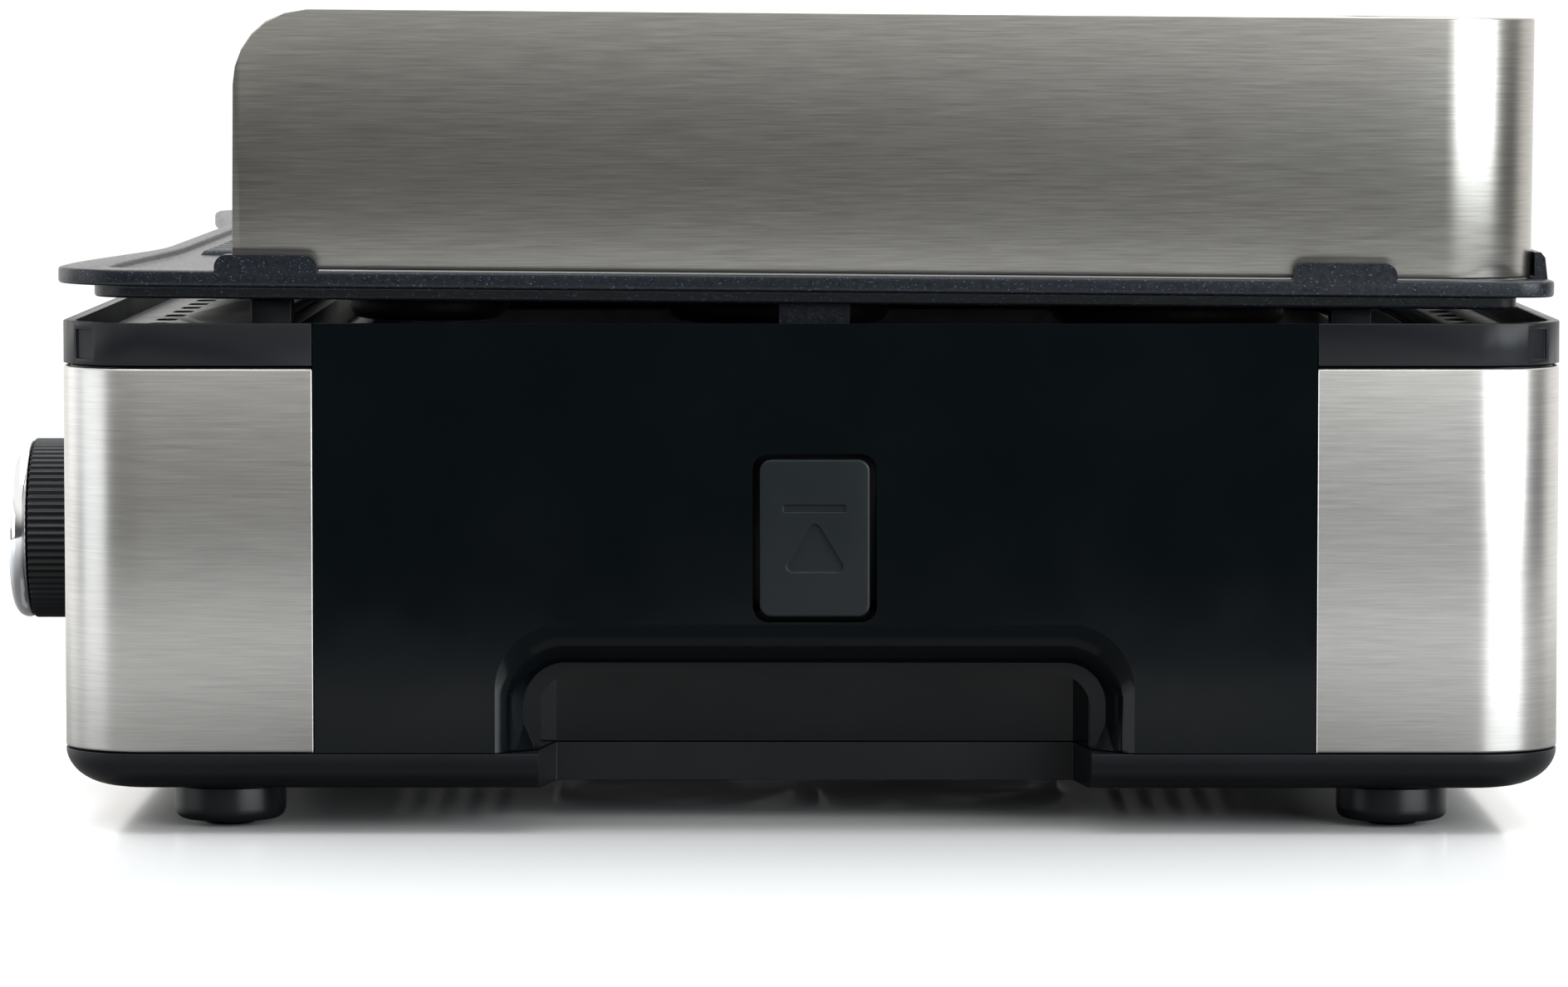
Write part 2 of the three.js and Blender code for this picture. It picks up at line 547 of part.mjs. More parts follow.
// ---- controls ----
function knobBody() {
  const ribs = 30;
  const shape = new THREE.Shape();
  for (let i = 0; i < ribs * 4; i += 1) {
    const angle = (i / (ribs * 4)) * 2 * Math.PI;
    const r = i % 4 < 2 ? KNOB.r - 0.3 : KNOB.r - 1.5;
    const x = KNOB.x + r * Math.cos(angle);
    const z = KNOB.z + r * Math.sin(angle);
    if (i === 0) shape.moveTo(x, z);
    else shape.lineTo(x, z);
  }
  const body = prism(shape, 'y', KNOB.bodyFront, KNOB.rear);
  return body.subtract(rod('y', KNOB.x, KNOB.z, 3.4, -186.5, -160, 16));
}

// The knob's cap: a bulging ring round a shallow dish with a raised pointer.
function knobCap() {
  const r = KNOB.r;
  const y0 = KNOB.bodyFront - GAP;
  const profile = [[0, y0], [r - 1, y0], [r, y0 - 1.2], [r, y0 - 2.6], [r - 1.2, y0 - 4.2],
    [r - 3, KNOB.capFront], [r - 4.6, y0 - 4], [r - 5.4, y0 - 2.8], [0, y0 - 2.8]];
  const geometry = new THREE.LatheGeometry(profile.map(([x, y]) => new THREE.Vector2(x, -y)), 36);
  geometry.rotateX(Math.PI);
  geometry.translate(KNOB.x, 0, KNOB.z);
  const pointer = box(KNOB.x - 1.1, KNOB.x + 1.1, y0 - 4, y0 - 2, KNOB.z + 4, KNOB.z + 15);
  return solid(geometry).add(pointer);
}

function thermostat() {
  const { x, z } = KNOB;
  const body = prism(roundRect(x - 19, x + 19, z - 19, z + 19, 4), 'y', -164.6, -137, 2);
  const bush = rod('y', x, z, 5, -170.1, -160, 20);
  return body.add(bush).subtract(rod('y', x, z, 3.4, -180, -149.5, 16));
}

function fanButton() {
  const { x, z, w, h } = SWITCH;
  return prism(roundRect(x - w / 2, x + w / 2, z - h / 2, z + h / 2, 2), 'y', -172.5, -166.6, 3);
}

function releaseButton(side) {
  const { w, h, r, z, thick } = BUTTON;
  const face = HALF_W - 0.3;
  const back = face - thick;
  let made = prism(roundRect(SIDE_Y - w / 2, SIDE_Y + w / 2, z - h / 2, z + h / 2, r), 'x', back, face);
  made = made.add(box(219, back + 0.5, SIDE_Y - 6, SIDE_Y + 6, z - 10, z + 10));
  made = made.subtract(prism(barShape(z), 'x', face - 0.4, face + 1));
  made = made.subtract(prism(triangleShape(z), 'x', face - 0.4, face + 1));
  return onSide(side, made);
}

function barShape(z) {
  return roundRect(SIDE_Y - 7.1, SIDE_Y + 7.1, z + 5.95, z + 7.45, 0.3);
}

// An upward triangle with round corners: its apex, then its two feet.
function triangleShape(z) {
  const r = 1.3;
  const apex = new THREE.Vector2(SIDE_Y, z + 3.1 - r);
  const half = 6.35 - r;
  const foot = z - 7.7 + r;
  const lean = Math.atan2(apex.y - foot, half);
  const side = Math.PI / 2 - lean;
  const shape = new THREE.Shape();
  shape.absarc(SIDE_Y + half, foot, r, -Math.PI / 2, side);
  shape.absarc(apex.x, apex.y, r, side, Math.PI - side);
  shape.absarc(SIDE_Y - half, foot, r, Math.PI - side, 1.5 * Math.PI);
  shape.closePath();
  return shape;
}

// The latch rides on the button's stem and reaches up to the catch under the plate.
function latch(side) {
  const arm = box(211.5, 213.5, SIDE_Y - 7, SIDE_Y + 7, 58, 116);
  const foot = box(213, 218.7, SIDE_Y - 7, SIDE_Y + 7, 62, 64);
  const nose = box(213, 217, SIDE_Y - 7, SIDE_Y + 7, 111.5, 114);
  return onSide(side, arm.add(foot).add(nose));
}

// The frame that the button's stem slides in.
function releaseGuide(side) {
  const frame = box(220.5, 226.6, SIDE_Y - 15, SIDE_Y + 15, 52, 88);
  const way = box(210, 240, SIDE_Y - 6.5, SIDE_Y + 6.5, BUTTON.z - 10.5, BUTTON.z + 10.5);
  return onSide(side, frame.subtract(way));
}

// ---- mains inlet, fan and electrics ----
function mainsInlet() {
  const { x, z, w, h } = INLET;
  let made = box(x - w / 2, x + w / 2, 140, 170.5, z - h / 2, z + h / 2);
  made = made.add(prism(roundRect(x - w / 2 - 4, x + w / 2 + 4, z - h / 2 - 4, z + h / 2 + 4, 4), 'y',
    HALF_D + GAP, 172));
  return made.subtract(prism(roundRect(x - w / 2 + 2, x + w / 2 - 2, z - h / 2 + 2, z + h / 2 - 2, 3), 'y',
    152, 175));
}

function inletPin(dx, dz) {
  const x = INLET.x + dx;
  const z = INLET.z + dz;
  return box(x - 1.2, x + 1.2, 152 + GAP, 165, z - 2.2, z + 2.2);
}

function fanImpeller() {
  let made = rod('z', FAN.x, FAN.y, 18, 17, 33, 24);
  const blades = 7;
  for (let i = 0; i < blades; i += 1) {
    const geometry = new THREE.BoxGeometry(36, 26, 1.8);
    geometry.rotateX(THREE.MathUtils.degToRad(28)).translate(34, 0, 25);
    geometry.rotateZ((i / blades) * 2 * Math.PI).translate(FAN.x, FAN.y, 0);
    made = made.add(solid(geometry));
  }
  return made.subtract(rod('z', FAN.x, FAN.y, 2.3, 20, 40, 12));
}

function fanDuct() {
  return rod('z', FAN.x, FAN.y, 60, 14 + GAP, 36, 32).subtract(rod('z', FAN.x, FAN.y, 57.5, 5, 50, 32));
}

function motorBracket() {
  const bar = box(FAN.x - 62, FAN.x + 62, FAN.y - 8, FAN.y + 8, 36.4, 38.2);
  return bar.subtract(rod('z', FAN.x, FAN.y, 4, 30, 45, 16));
}

// Round cover on the underside, with a wheel of slots under the fan.
function fanCover() {
  const top = UNDERSIDE_Z - GAP;
  const profile = [[0, FAN.coverBottom], [FAN.coverR - 3, FAN.coverBottom], [FAN.coverR, FAN.coverBottom + 3],
    [FAN.coverR, top], [FAN.coverR - 3, top], [FAN.coverR - 5, FAN.coverBottom + 2.4],
    [0, FAN.coverBottom + 2.4]];
  const geometry = new THREE.LatheGeometry(profile.map(([x, y]) => new THREE.Vector2(x, y)), 40);
  geometry.rotateX(Math.PI / 2).translate(FAN.x, FAN.y, 0);
  let made = solid(geometry);
  const count = 18;
  for (let i = 0; i < count; i += 1) {
    const slot = new THREE.ExtrudeGeometry(slotShape(20, 54, -1.8, 1.8), { depth: 20, bevelEnabled: false });
    slot.rotateZ((i / count) * 2 * Math.PI).translate(FAN.x, FAN.y, 0);
    made = made.subtract(solid(slot));
  }
  return made;
}

function controlBoard() {
  const board = box(-160, -90, -110, -60, 20, 21.6);
  const relay = box(-150, -132, -100, -86, 21.4, 36);
  const terminals = box(-125, -97, -100, -90, 21.4, 32);
  return board.add(relay).add(terminals);
}

// ---- assembly ----
part('bottom_cover', bottomCover(), 'plastic');
for (const [tag, sx, sy] of [['fr', 1, -1], ['fl', -1, -1], ['rr', 1, 1], ['rl', -1, 1]]) {
  part(`foot_${tag}`, foot(sx * FOOT.x, sy * FOOT.y), 'plastic');
  part(`foot_pad_${tag}`, rod('z', sx * FOOT.x, sy * FOOT.y, FOOT.padR, 0, 2.9, 16), 'rubber');
  part(`base_screw_${tag}`, screw(sx * SCREW.x, sy * SCREW.y), 'zinc');
}
part('chassis', chassis(), 'plastic');
part('tub', tub(), 'plastic');
for (const [tag, side] of [['front', -1], ['rear', 1]]) {
  part(`${tag}_steel_wrap`, steelWrap(side), 'steel');
  part(`${tag}_trim`, trim(side), 'trim');
}
for (const [tag, side] of [['right', 1], ['left', -1]]) {
  part(`side_panel_${tag}`, sidePanel(side), 'gloss');
  part(`release_button_${tag}`, releaseButton(side), 'button');
  part(`release_guide_${tag}`, releaseGuide(side), 'plastic');
  part(`latch_${tag}`, latch(side), 'zinc');
}
part('thermostat', thermostat(), 'ceramic');
part('dial_ring', rod('y', KNOB.x, KNOB.z, 25, -171.2, -170.3, 40)
  .subtract(rod('y', KNOB.x, KNOB.z, 5.6, -175, -165, 20)), 'chrome');
part('knob_shaft', rod('y', KNOB.x, KNOB.z, 3, -186, -150, 16), 'zinc');
part('knob_body', knobBody(), 'plastic');
part('knob_cap', knobCap(), 'chrome');
part('fan_button', fanButton(), 'button');
part('fan_switch', box(SWITCH.x - 11, SWITCH.x + 11, -163.6, -146, SWITCH.z - 8, SWITCH.z + 8), 'plastic');
part('indicator_lamp', rod('y', LAMP.x, LAMP.z, LAMP.r, -171, -164, 16), 'lamp');
part('mains_inlet', mainsInlet(), 'plastic');
for (const [tag, dx, dz] of [['line', -6, -2], ['neutral', 6, -2], ['earth', 0, 3]]) {
  part(`inlet_pin_${tag}`, inletPin(dx, dz), 'brass');
}
part('fan_duct', fanDuct(), 'plastic');
part('motor_bracket', motorBracket(), 'zinc');
part('fan_motor', rod('z', FAN.x, FAN.y, 23, 38.5, 55, 24), 'zinc');
part('fan_shaft', rod('z', FAN.x, FAN.y, 2, 20.3, 38.2, 12), 'zinc');
part('fan_impeller', fanImpeller(), 'plastic');
part('fan_cover', fanCover(), 'plastic');
part('control_board', controlBoard(), 'board');
part('heater_socket', heaterSocket(), 'ceramic');
part('drip_tray', dripTray(), 'aluminium');
part('grill_plate', grillPlate(), 'cast', upper);
part('heating_element', heatingElement(), 'element', upper);
for (const [i, x, y] of [[1, -60, 108], [2, 80, 108], [3, -60, -105], [4, 80, -105]]) {
  part(`heater_clip_${i}`, heaterClip(x, y), 'zinc', upper);
}
part('heater_plug', heaterPlug(), 'ceramic', upper);
part('splash_guard', splashGuard(), 'steel', upper);

export default model;
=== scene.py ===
"""Smokeless tabletop grill: every visible piece, its finish, the floor, the lights and the camera.

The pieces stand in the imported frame, in metres, +Z up, with the front at -Y and the right side at +X.
"""

import json
import math

import bmesh
import bpy
import numpy as np
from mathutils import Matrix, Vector

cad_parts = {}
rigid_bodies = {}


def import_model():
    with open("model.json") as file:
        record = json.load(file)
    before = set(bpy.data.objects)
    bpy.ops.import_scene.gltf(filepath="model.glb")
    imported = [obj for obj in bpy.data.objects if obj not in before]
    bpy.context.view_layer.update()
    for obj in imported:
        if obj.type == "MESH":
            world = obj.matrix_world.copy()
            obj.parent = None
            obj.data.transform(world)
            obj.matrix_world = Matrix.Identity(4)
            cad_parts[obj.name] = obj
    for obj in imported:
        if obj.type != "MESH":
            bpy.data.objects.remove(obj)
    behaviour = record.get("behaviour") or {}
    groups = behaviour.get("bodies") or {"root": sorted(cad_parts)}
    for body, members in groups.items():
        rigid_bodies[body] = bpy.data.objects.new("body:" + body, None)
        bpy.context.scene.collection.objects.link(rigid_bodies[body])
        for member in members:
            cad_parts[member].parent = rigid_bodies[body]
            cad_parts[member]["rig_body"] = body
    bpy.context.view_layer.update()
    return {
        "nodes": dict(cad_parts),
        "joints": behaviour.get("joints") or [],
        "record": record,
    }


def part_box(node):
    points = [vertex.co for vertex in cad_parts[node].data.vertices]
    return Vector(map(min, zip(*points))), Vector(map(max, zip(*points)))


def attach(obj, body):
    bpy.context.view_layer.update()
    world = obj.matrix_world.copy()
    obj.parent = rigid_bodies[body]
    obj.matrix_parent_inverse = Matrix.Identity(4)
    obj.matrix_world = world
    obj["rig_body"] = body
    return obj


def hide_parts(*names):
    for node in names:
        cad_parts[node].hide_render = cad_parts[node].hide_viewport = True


bl_info = {
    "name": "Tabletop grill",
    "version": (1, 0, 0),
    "blender": (4, 5, 0),
    "location": "3D View > Sidebar > Grill",
    "description": "Builds a smokeless tabletop grill around its frame, piece by piece",
    "category": "Object",
}

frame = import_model()

NODES = frame["nodes"]
SLOTS = {row["node"]: row["material_slot"] for row in frame["record"]["subparts"]}
JOINTS = {joint["name"]: joint for joint in frame["joints"]}

MM = 0.001
GAP = 0.3 * MM
MERGE = 1e-6

# ---- places and sizes taken from the frame ----
PANEL_LOW, PANEL_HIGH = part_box("side_panel_right")
COVER_LOW, COVER_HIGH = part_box("bottom_cover")
KNOB_LOW, KNOB_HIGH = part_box("knob_body")
CAP_LOW, CAP_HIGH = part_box("knob_cap")
HALF_W = COVER_HIGH.x
HALF_D = COVER_HIGH.y
SIDE_Y = (PANEL_LOW.y + PANEL_HIGH.y) / 2
TILT = math.atan2(JOINTS["guard_lift"]["axis"][1], JOINTS["guard_lift"]["axis"][2])

# ---- sizes of the base ----
CORNER_R = 20 * MM
STEEL_T = 1.2 * MM
PANEL_T = 3 * MM
LEDGE_Z = 110.3 * MM
LEDGE_T = 2.7 * MM
TUB_HALF_X = 202 * MM
FAN = {"x": 85 * MM, "y": 0.0, "opening": 56 * MM}
VENT = {"x": (53 * MM, 117 * MM), "half": 1.75 * MM, "r": 1.7 * MM}
VENT_ROW = {"first": 76 * MM, "pitch": 7 * MM, "count": 7}
SCREW = {"x": 175 * MM, "y": 150 * MM}
FOOT = {"x": 210 * MM, "y": 133 * MM, "r": 12.75 * MM, "pad": 6.5 * MM}
LAMP = {"x": 92 * MM, "z": 86 * MM, "r": 3 * MM}
SWITCH = {"x": -130 * MM, "z": 61.7 * MM, "w": 20 * MM, "h": 12 * MM}
INLET = {"x": -100 * MM, "z": 45 * MM, "w": 27.4 * MM, "h": 19.4 * MM}
SOCKET = {"x": -215 * MM, "y": 60 * MM, "half_x": 8 * MM, "half_y": 15 * MM}
KNOB = {"x": 130 * MM, "z": 61.7 * MM, "r": 21.5 * MM, "hole": 5.6 * MM}

# ---- sizes of the carry grip and the release button ----
GRIP = {
    "outer": (72.1 * MM, 47.8 * MM, 15 * MM),
    "inner": (65.9 * MM, 38.3 * MM, 9.5 * MM),
    "mouth": (62.4 * MM, 35.8 * MM, 8 * MM),
    "funnel": 9 * MM,
    "lip": 4 * MM,
    "half_back": 59.2 * MM,
    "back": 27 * MM,
    "hook_z": 46 * MM,
    "facet_z": 27 * MM,
    "ease": 0.45,
}
BUTTON = {"half_w": 12.5 * MM, "half_h": 17.85 * MM, "r": 2.75 * MM, "z": 67.2 * MM, "thick": 4.1 * MM}
OPENING = {"half_w": 14 * MM, "half_h": 19 * MM, "r": 3.6 * MM}

# ---- sizes of the plate, guard and heater, in the plate's own frame ----
PLATE_Z = 126.2 * MM
PLATE = {
    "half_x": 233 * MM,
    "front": -171.2 * MM,
    "waist": -158.3 * MM,
    "waist_half": 78 * MM,
    "rear": 167.8 * MM,
    "r_front": 20 * MM,
    "r_rear": 9 * MM,
    "rim": 3.65 * MM,
    "skirt": 8.2 * MM,
    "bottom": -6.7 * MM,
    "pan": -1.7 * MM,
}
PAN_INSET = (12 * MM, 10.8 * MM, 4 * MM, 9 * MM)
RIB = {"right": 89.5, "pitch": 14.75, "count": 20, "base": 5, "top": 3.4, "crest": -0.15, "y": (-150, 128)}
GUARD = {"x": 229.4 * MM, "front": -130.4 * MM, "rear": 164.1 * MM, "height": 59 * MM, "bend": 22 * MM}
GUARD_TOP_R = 17 * MM
GUTTER = {"half_x": 205 * MM, "y": (136 * MM, 155 * MM), "r": 6 * MM, "floor": -3.6 * MM}
DRAIN = {"x": (-120 * MM, 0.0, 120 * MM), "half_x": 18 * MM, "y": (137.5 * MM, 143.5 * MM), "r": 2.9 * MM}
CATCH = {"x": (217.4 * MM, 220.4 * MM), "half_y": 8 * MM, "low": -15.4 * MM}
REAR_TAB = {"x": 202 * MM, "half": 12 * MM}
ELEMENT_R = 3.25 * MM

# ---- stage: places in metres, powers in watts ----
FLOOR = {"r": 0.64, "thick": MM}
LAMPS = {
    "overhead_box": ((0.0, 0.0, 1.5), (0.0, 0.0, 0.0), (1.7, 1.7), 34),
    "rear_side_box": ((1.42, 1.28, 0.45), (0.2, 0.15, 0.1), (1.6, 0.9), 30),
    "front_side_box": ((-0.55, -1.8, 0.45), (0.15, -0.15, 0.08), (1.3, 0.9), 3),
    "leg_box": ((0.48, -1.3, 0.16), (0.23, 0.06, 0.05), (0.8, 0.5), 2.2),
}
LAMP_TINT = (0.92, 0.965, 1.0)
DOME_TINT = (1, 0.985, 0.96, 1)
CAMERA = {"place": (1.787, 0.0, 0.1864), "lens": 158.9, "turn": 0.224, "drop": 4.02}


class GrillSizes(bpy.types.PropertyGroup):
    """Sizes of the finish that a user would change."""

    guard_sheet: bpy.props.FloatProperty(
        name="Guard sheet", description="Thickness of the guard's sheet", default=0.9 * MM, unit="LENGTH"
    )
    moulded_edge: bpy.props.FloatProperty(
        name="Moulded edge", description="Radius on moulded pieces' edges", default=0.4 * MM, unit="LENGTH"
    )
    metal_edge: bpy.props.FloatProperty(
        name="Metal edge", description="Radius on small metal pieces' edges", default=0.2 * MM, unit="LENGTH"
    )
    lip_edge: bpy.props.FloatProperty(
        name="Panel lip", description="Radius on the lips of the side panels", default=0.8 * MM, unit="LENGTH"
    )
    knob_ribs: bpy.props.IntProperty(
        name="Knob ribs", description="Number of fine ribs round the knob", default=76, min=12
    )
    knob_rib_depth: bpy.props.FloatProperty(
        name="Knob rib depth", description="Depth of the grooves", default=0.55 * MM, unit="LENGTH"
    )


def colour_property(label, default):
    """A colour that a user would change."""
    return bpy.props.FloatVectorProperty(
        name=label, description=f"Colour of the {label.lower()}", subtype="COLOR", size=3, default=default
    )


class GrillColours(bpy.types.PropertyGroup):
    """Colours of the finishes, in linear light."""

    wrap_steel: colour_property("Wrap steel", (0.54, 0.53, 0.51))
    guard_steel: colour_property("Guard steel", (0.36, 0.35, 0.325))
    gloss_black: colour_property("Gloss panel", (0.001, 0.0024, 0.0034))
    trim: colour_property("Trim", (0.0042, 0.0054, 0.0074))
    coating: colour_property("Plate coating", (0.0048, 0.0068, 0.0102))
    moulded: colour_property("Moulded plastic", (0.0068, 0.0078, 0.0098))
    button: colour_property("Release button", (0.0052, 0.0084, 0.0105))
    rubber: colour_property("Rubber", (0.0045, 0.0045, 0.005))
    floor: colour_property("Floor", (0.96, 0.965, 0.97))


# ---- finishes ----
def shader(name):
    """A new material: its node tree, its shader and its Object coordinates."""
    material = bpy.data.materials.new(name)
    material.use_nodes = True
    tree = material.node_tree
    bsdf = tree.nodes["Principled BSDF"]
    coords = tree.nodes.new("ShaderNodeTexCoord")
    return material, tree, bsdf, coords.outputs["Object"]


def grain(tree, place, scale, detail=3.0, roughness=0.6):
    """Noise whose size along each axis is one over the scale, in metres."""
    mapping = tree.nodes.new("ShaderNodeMapping")
    mapping.inputs["Scale"].default_value = scale
    noise = tree.nodes.new("ShaderNodeTexNoise")
    noise.inputs["Scale"].default_value = 1.0
    noise.inputs["Detail"].default_value = detail
    noise.inputs["Roughness"].default_value = roughness
    tree.links.new(place, mapping.inputs["Vector"])
    tree.links.new(mapping.outputs["Vector"], noise.inputs["Vector"])
    return noise.outputs["Fac"]


def ramp(tree, value, low, high):
    """Maps the middle of a noise, 0.3 to 0.7, to a range."""
    node = tree.nodes.new("ShaderNodeMapRange")
    for socket, number in (("From Min", 0.3), ("From Max", 0.7), ("To Min", low), ("To Max", high)):
        node.inputs[socket].default_value = number
    tree.links.new(value, node.inputs["Value"])
    return node.outputs["Result"]


def blend_colour(tree, value, low, high):
    """Mixes two colours by a value."""
    node = tree.nodes.new("ShaderNodeMix")
    node.data_type = "RGBA"
    node.inputs["A"].default_value = (*low, 1)
    node.inputs["B"].default_value = (*high, 1)
    tree.links.new(value, node.inputs["Factor"])
    return node.outputs["Result"]


def add_bump(tree, bsdf, height, depth, strength=1.0):
    """Relief of a given depth in metres under the shader."""
    node = tree.nodes.new("ShaderNodeBump")
    node.inputs["Strength"].default_value = strength
    node.inputs["Distance"].default_value = depth
    tree.links.new(height, node.inputs["Height"])
    tree.links.new(node.outputs["Normal"], bsdf.inputs["Normal"])


def shade(colour, factor):
    return tuple(channel * factor for channel in colour)


def brushed_steel(name, colour, roughness, contrast):
    """Steel brushed along the horizontal: short thin lines over long faint ones."""
    material, tree, bsdf, place = shader(name)
    bsdf.inputs["Metallic"].default_value = 1.0
    lines = grain(tree, place, (75, 75, 2600), 3.0)
    long_lines = grain(tree, place, (10, 10, 900), 2.0)
    dark, light = shade(colour, 1 - contrast), shade(colour, 1 + contrast)
    tint = blend_colour(tree, ramp(tree, lines, 0.0, 1.0), dark, light)
    drift = tree.nodes.new("ShaderNodeMix")
    drift.data_type, drift.blend_type = "RGBA", "MULTIPLY"
    drift.inputs["Factor"].default_value = 1.0
    tree.links.new(tint, drift.inputs["A"])
    faint = blend_colour(tree, long_lines, (0.96, 0.96, 0.96), (1.04, 1.04, 1.04))
    tree.links.new(faint, drift.inputs["B"])
    tree.links.new(drift.outputs["Result"], bsdf.inputs["Base Color"])
    tree.links.new(ramp(tree, lines, roughness - 0.01, roughness + 0.01), bsdf.inputs["Roughness"])
    return material


def moulding(name, colour, roughness, texture, depth, specular=0.5, coat=0.0):
    """Moulded plastic or rubber: a fine even grain, with slow changes in gloss."""
    material, tree, bsdf, place = shader(name)
    bsdf.inputs["Specular IOR Level"].default_value = specular
    bsdf.inputs["Coat Weight"].default_value = coat
    bsdf.inputs["Coat Roughness"].default_value = 0.06
    fine = grain(tree, place, (texture, texture, texture), 2.0)
    slow = grain(tree, place, (35, 35, 35), 2.0)
    tint = blend_colour(tree, slow, shade(colour, 0.88), shade(colour, 1.12))
    tree.links.new(tint, bsdf.inputs["Base Color"])
    tree.links.new(ramp(tree, slow, roughness - 0.03, roughness + 0.04), bsdf.inputs["Roughness"])
    add_bump(tree, bsdf, fine, depth)
    return material


def metal(name, colour, roughness, texture, depth):
    """Plain metal: a rolled or plated face with faint marks."""
    material, tree, bsdf, place = shader(name)
    bsdf.inputs["Metallic"].default_value = 1.0
    marks = grain(tree, place, (texture, texture, texture), 4.0)
    tint = blend_colour(tree, marks, shade(colour, 0.9), shade(colour, 1.06))
    tree.links.new(tint, bsdf.inputs["Base Color"])
    tree.links.new(ramp(tree, marks, roughness * 0.8, roughness * 1.25), bsdf.inputs["Roughness"])
    add_bump(tree, bsdf, marks, depth)
    return material


def cast_coating(name, colour):
    """Release coating on cast metal: an orange-peel skin with pale specks and short streaks."""
    material, tree, bsdf, place = shader(name)
    bsdf.inputs["Specular IOR Level"].default_value = 0.34
    peel = grain(tree, place, (900, 900, 900), 3.0)
    specks = grain(tree, place, (2600, 1500, 2600), 2.0)
    flecks = tree.nodes.new("ShaderNodeMapRange")
    flecks.inputs["From Min"].default_value = 0.62
    flecks.inputs["From Max"].default_value = 0.72
    tree.links.new(specks, flecks.inputs["Value"])
    tint = blend_colour(tree, flecks.outputs["Result"], colour, shade(colour, 14))
    tree.links.new(tint, bsdf.inputs["Base Color"])
    tree.links.new(ramp(tree, peel, 0.27, 0.42), bsdf.inputs["Roughness"])
    add_bump(tree, bsdf, peel, 0.03 * MM)
    return material


def floor_finish(name, colour):
    """A pale glossy table top with slow cloudiness. For rays other than the camera's its colour is darker, and
    darker still near the object: a painted shade round the base.
    """
    material, tree, bsdf, place = shader(name)
    slow = grain(tree, place, (3, 3, 3), 2.0)
    pale = blend_colour(tree, slow, shade(colour, 0.99), colour)
    path = tree.nodes.new("ShaderNodeLightPath")
    seen = tree.nodes.new("ShaderNodeMix")
    seen.data_type = "RGBA"
    reach = tree.nodes.new("ShaderNodeVectorMath")
    reach.operation = "LENGTH"
    tree.links.new(place, reach.inputs[0])
    # painted shade: for bounced light the floor's colour falls from 0.75 to 0.1 of its own between 0.55 m and
    # 0.28 m from the middle, a painted shadow round the base
    painted_shade_fade = tree.nodes.new("ShaderNodeMapRange")
    painted_shade_fade.inputs["From Min"].default_value = 0.28
    painted_shade_fade.inputs["From Max"].default_value = 0.55
    tree.links.new(reach.outputs["Value"], painted_shade_fade.inputs["Value"])
    painted_shade_bounce = blend_colour(tree, painted_shade_fade.outputs["Result"], shade(colour, 0.1), shade(colour, 0.75))
    tree.links.new(painted_shade_bounce, seen.inputs["A"])
    tree.links.new(pale, seen.inputs["B"])
    tree.links.new(path.outputs["Is Camera Ray"], seen.inputs["Factor"])
    tree.links.new(seen.outputs["Result"], bsdf.inputs["Base Color"])
    tree.links.new(ramp(tree, slow, 0.07, 0.11), bsdf.inputs["Roughness"])
    return material


FINISHES = {}


def make_finishes(colours):
    """One finish for each of the record's slots, and one for the darker sheet of the guard."""
    FINISHES.update(
        brushed_steel=brushed_steel("wrap_steel", colours.wrap_steel, 0.3, 0.1),
        guard_steel=brushed_steel("guard_steel", colours.guard_steel, 0.29, 0.15),
        gloss_black=moulding("gloss_panel", colours.gloss_black, 0.12, 700, 0.001 * MM, 0.26),
        trim_plastic=moulding("matte_trim", colours.trim, 0.36, 2400, 0.012 * MM, 0.26),
        moulded_plastic=moulding("moulded_black", colours.moulded, 0.34, 2200, 0.012 * MM, 0.3),
        button_plastic=moulding("satin_button", colours.button, 0.33, 2600, 0.01 * MM, 0.3),
        rubber=moulding("foot_rubber", colours.rubber, 0.6, 1800, 0.03 * MM, 0.15),
        lamp_lens=moulding("lamp_red", (0.42, 0.03, 0.012), 0.18, 600, 0.004 * MM, 0.5, 0.6),
        board=moulding("solder_mask", (0.02, 0.1, 0.04), 0.4, 1500, 0.02 * MM),
        ceramic=moulding("glazed_ceramic", (0.62, 0.58, 0.5), 0.55, 1400, 0.03 * MM),
        cast_coating=cast_coating("plate_coating", colours.coating),
        zinc=metal("zinc_plate", (0.48, 0.49, 0.51), 0.36, 500, 0.01 * MM),
        chrome=metal("bright_chrome", (0.82, 0.83, 0.85), 0.07, 90, 0.001 * MM),
        element_sheath=metal("element_sheath", (0.03, 0.028, 0.027), 0.6, 700, 0.02 * MM),
        aluminium=metal("pressed_aluminium", (0.58, 0.58, 0.59), 0.34, 300, 0.01 * MM),
        brass=metal("turned_brass", (0.58, 0.4, 0.15), 0.25, 600, 0.005 * MM),
    )


# ---- meshes ----
def mesh_object(name, points, faces):
    """A mesh object at the origin, its place in its mesh, with its normals facing out."""
    mesh = bpy.data.meshes.new(name)
    mesh.from_pydata(np.asarray(points).reshape(-1, 3).tolist(), [], faces)
    shell = bmesh.new()
    shell.from_mesh(mesh)
    bmesh.ops.remove_doubles(shell, verts=shell.verts, dist=MERGE)
    bmesh.ops.recalc_face_normals(shell, faces=shell.faces)
    shell.to_mesh(mesh)
    shell.free()
    piece = bpy.data.objects.new(name, mesh)
    bpy.context.scene.collection.objects.link(piece)
    return piece


def loft(name, rings, closed=False):
    """Skin over rings of equal length: rings[i, j] joins its neighbours in i and j. Open lofts are capped."""
    rings = np.asarray(rings, float)
    rows, columns = rings.shape[:2]
    i = np.arange(rows if closed else rows - 1)[:, None]
    j = np.arange(columns)[None, :]
    up = (i + 1) % rows
    across = (j + 1) % columns
    corners = [i * columns + j, i * columns + across, up * columns + across, up * columns + j]
    faces = np.stack(corners, -1).reshape(-1, 4).tolist()
    if not closed:
        faces.append(list(range(columns))[::-1])
        faces.append(list(range((rows - 1) * columns, rows * columns)))
    return mesh_object(name, rings, faces)


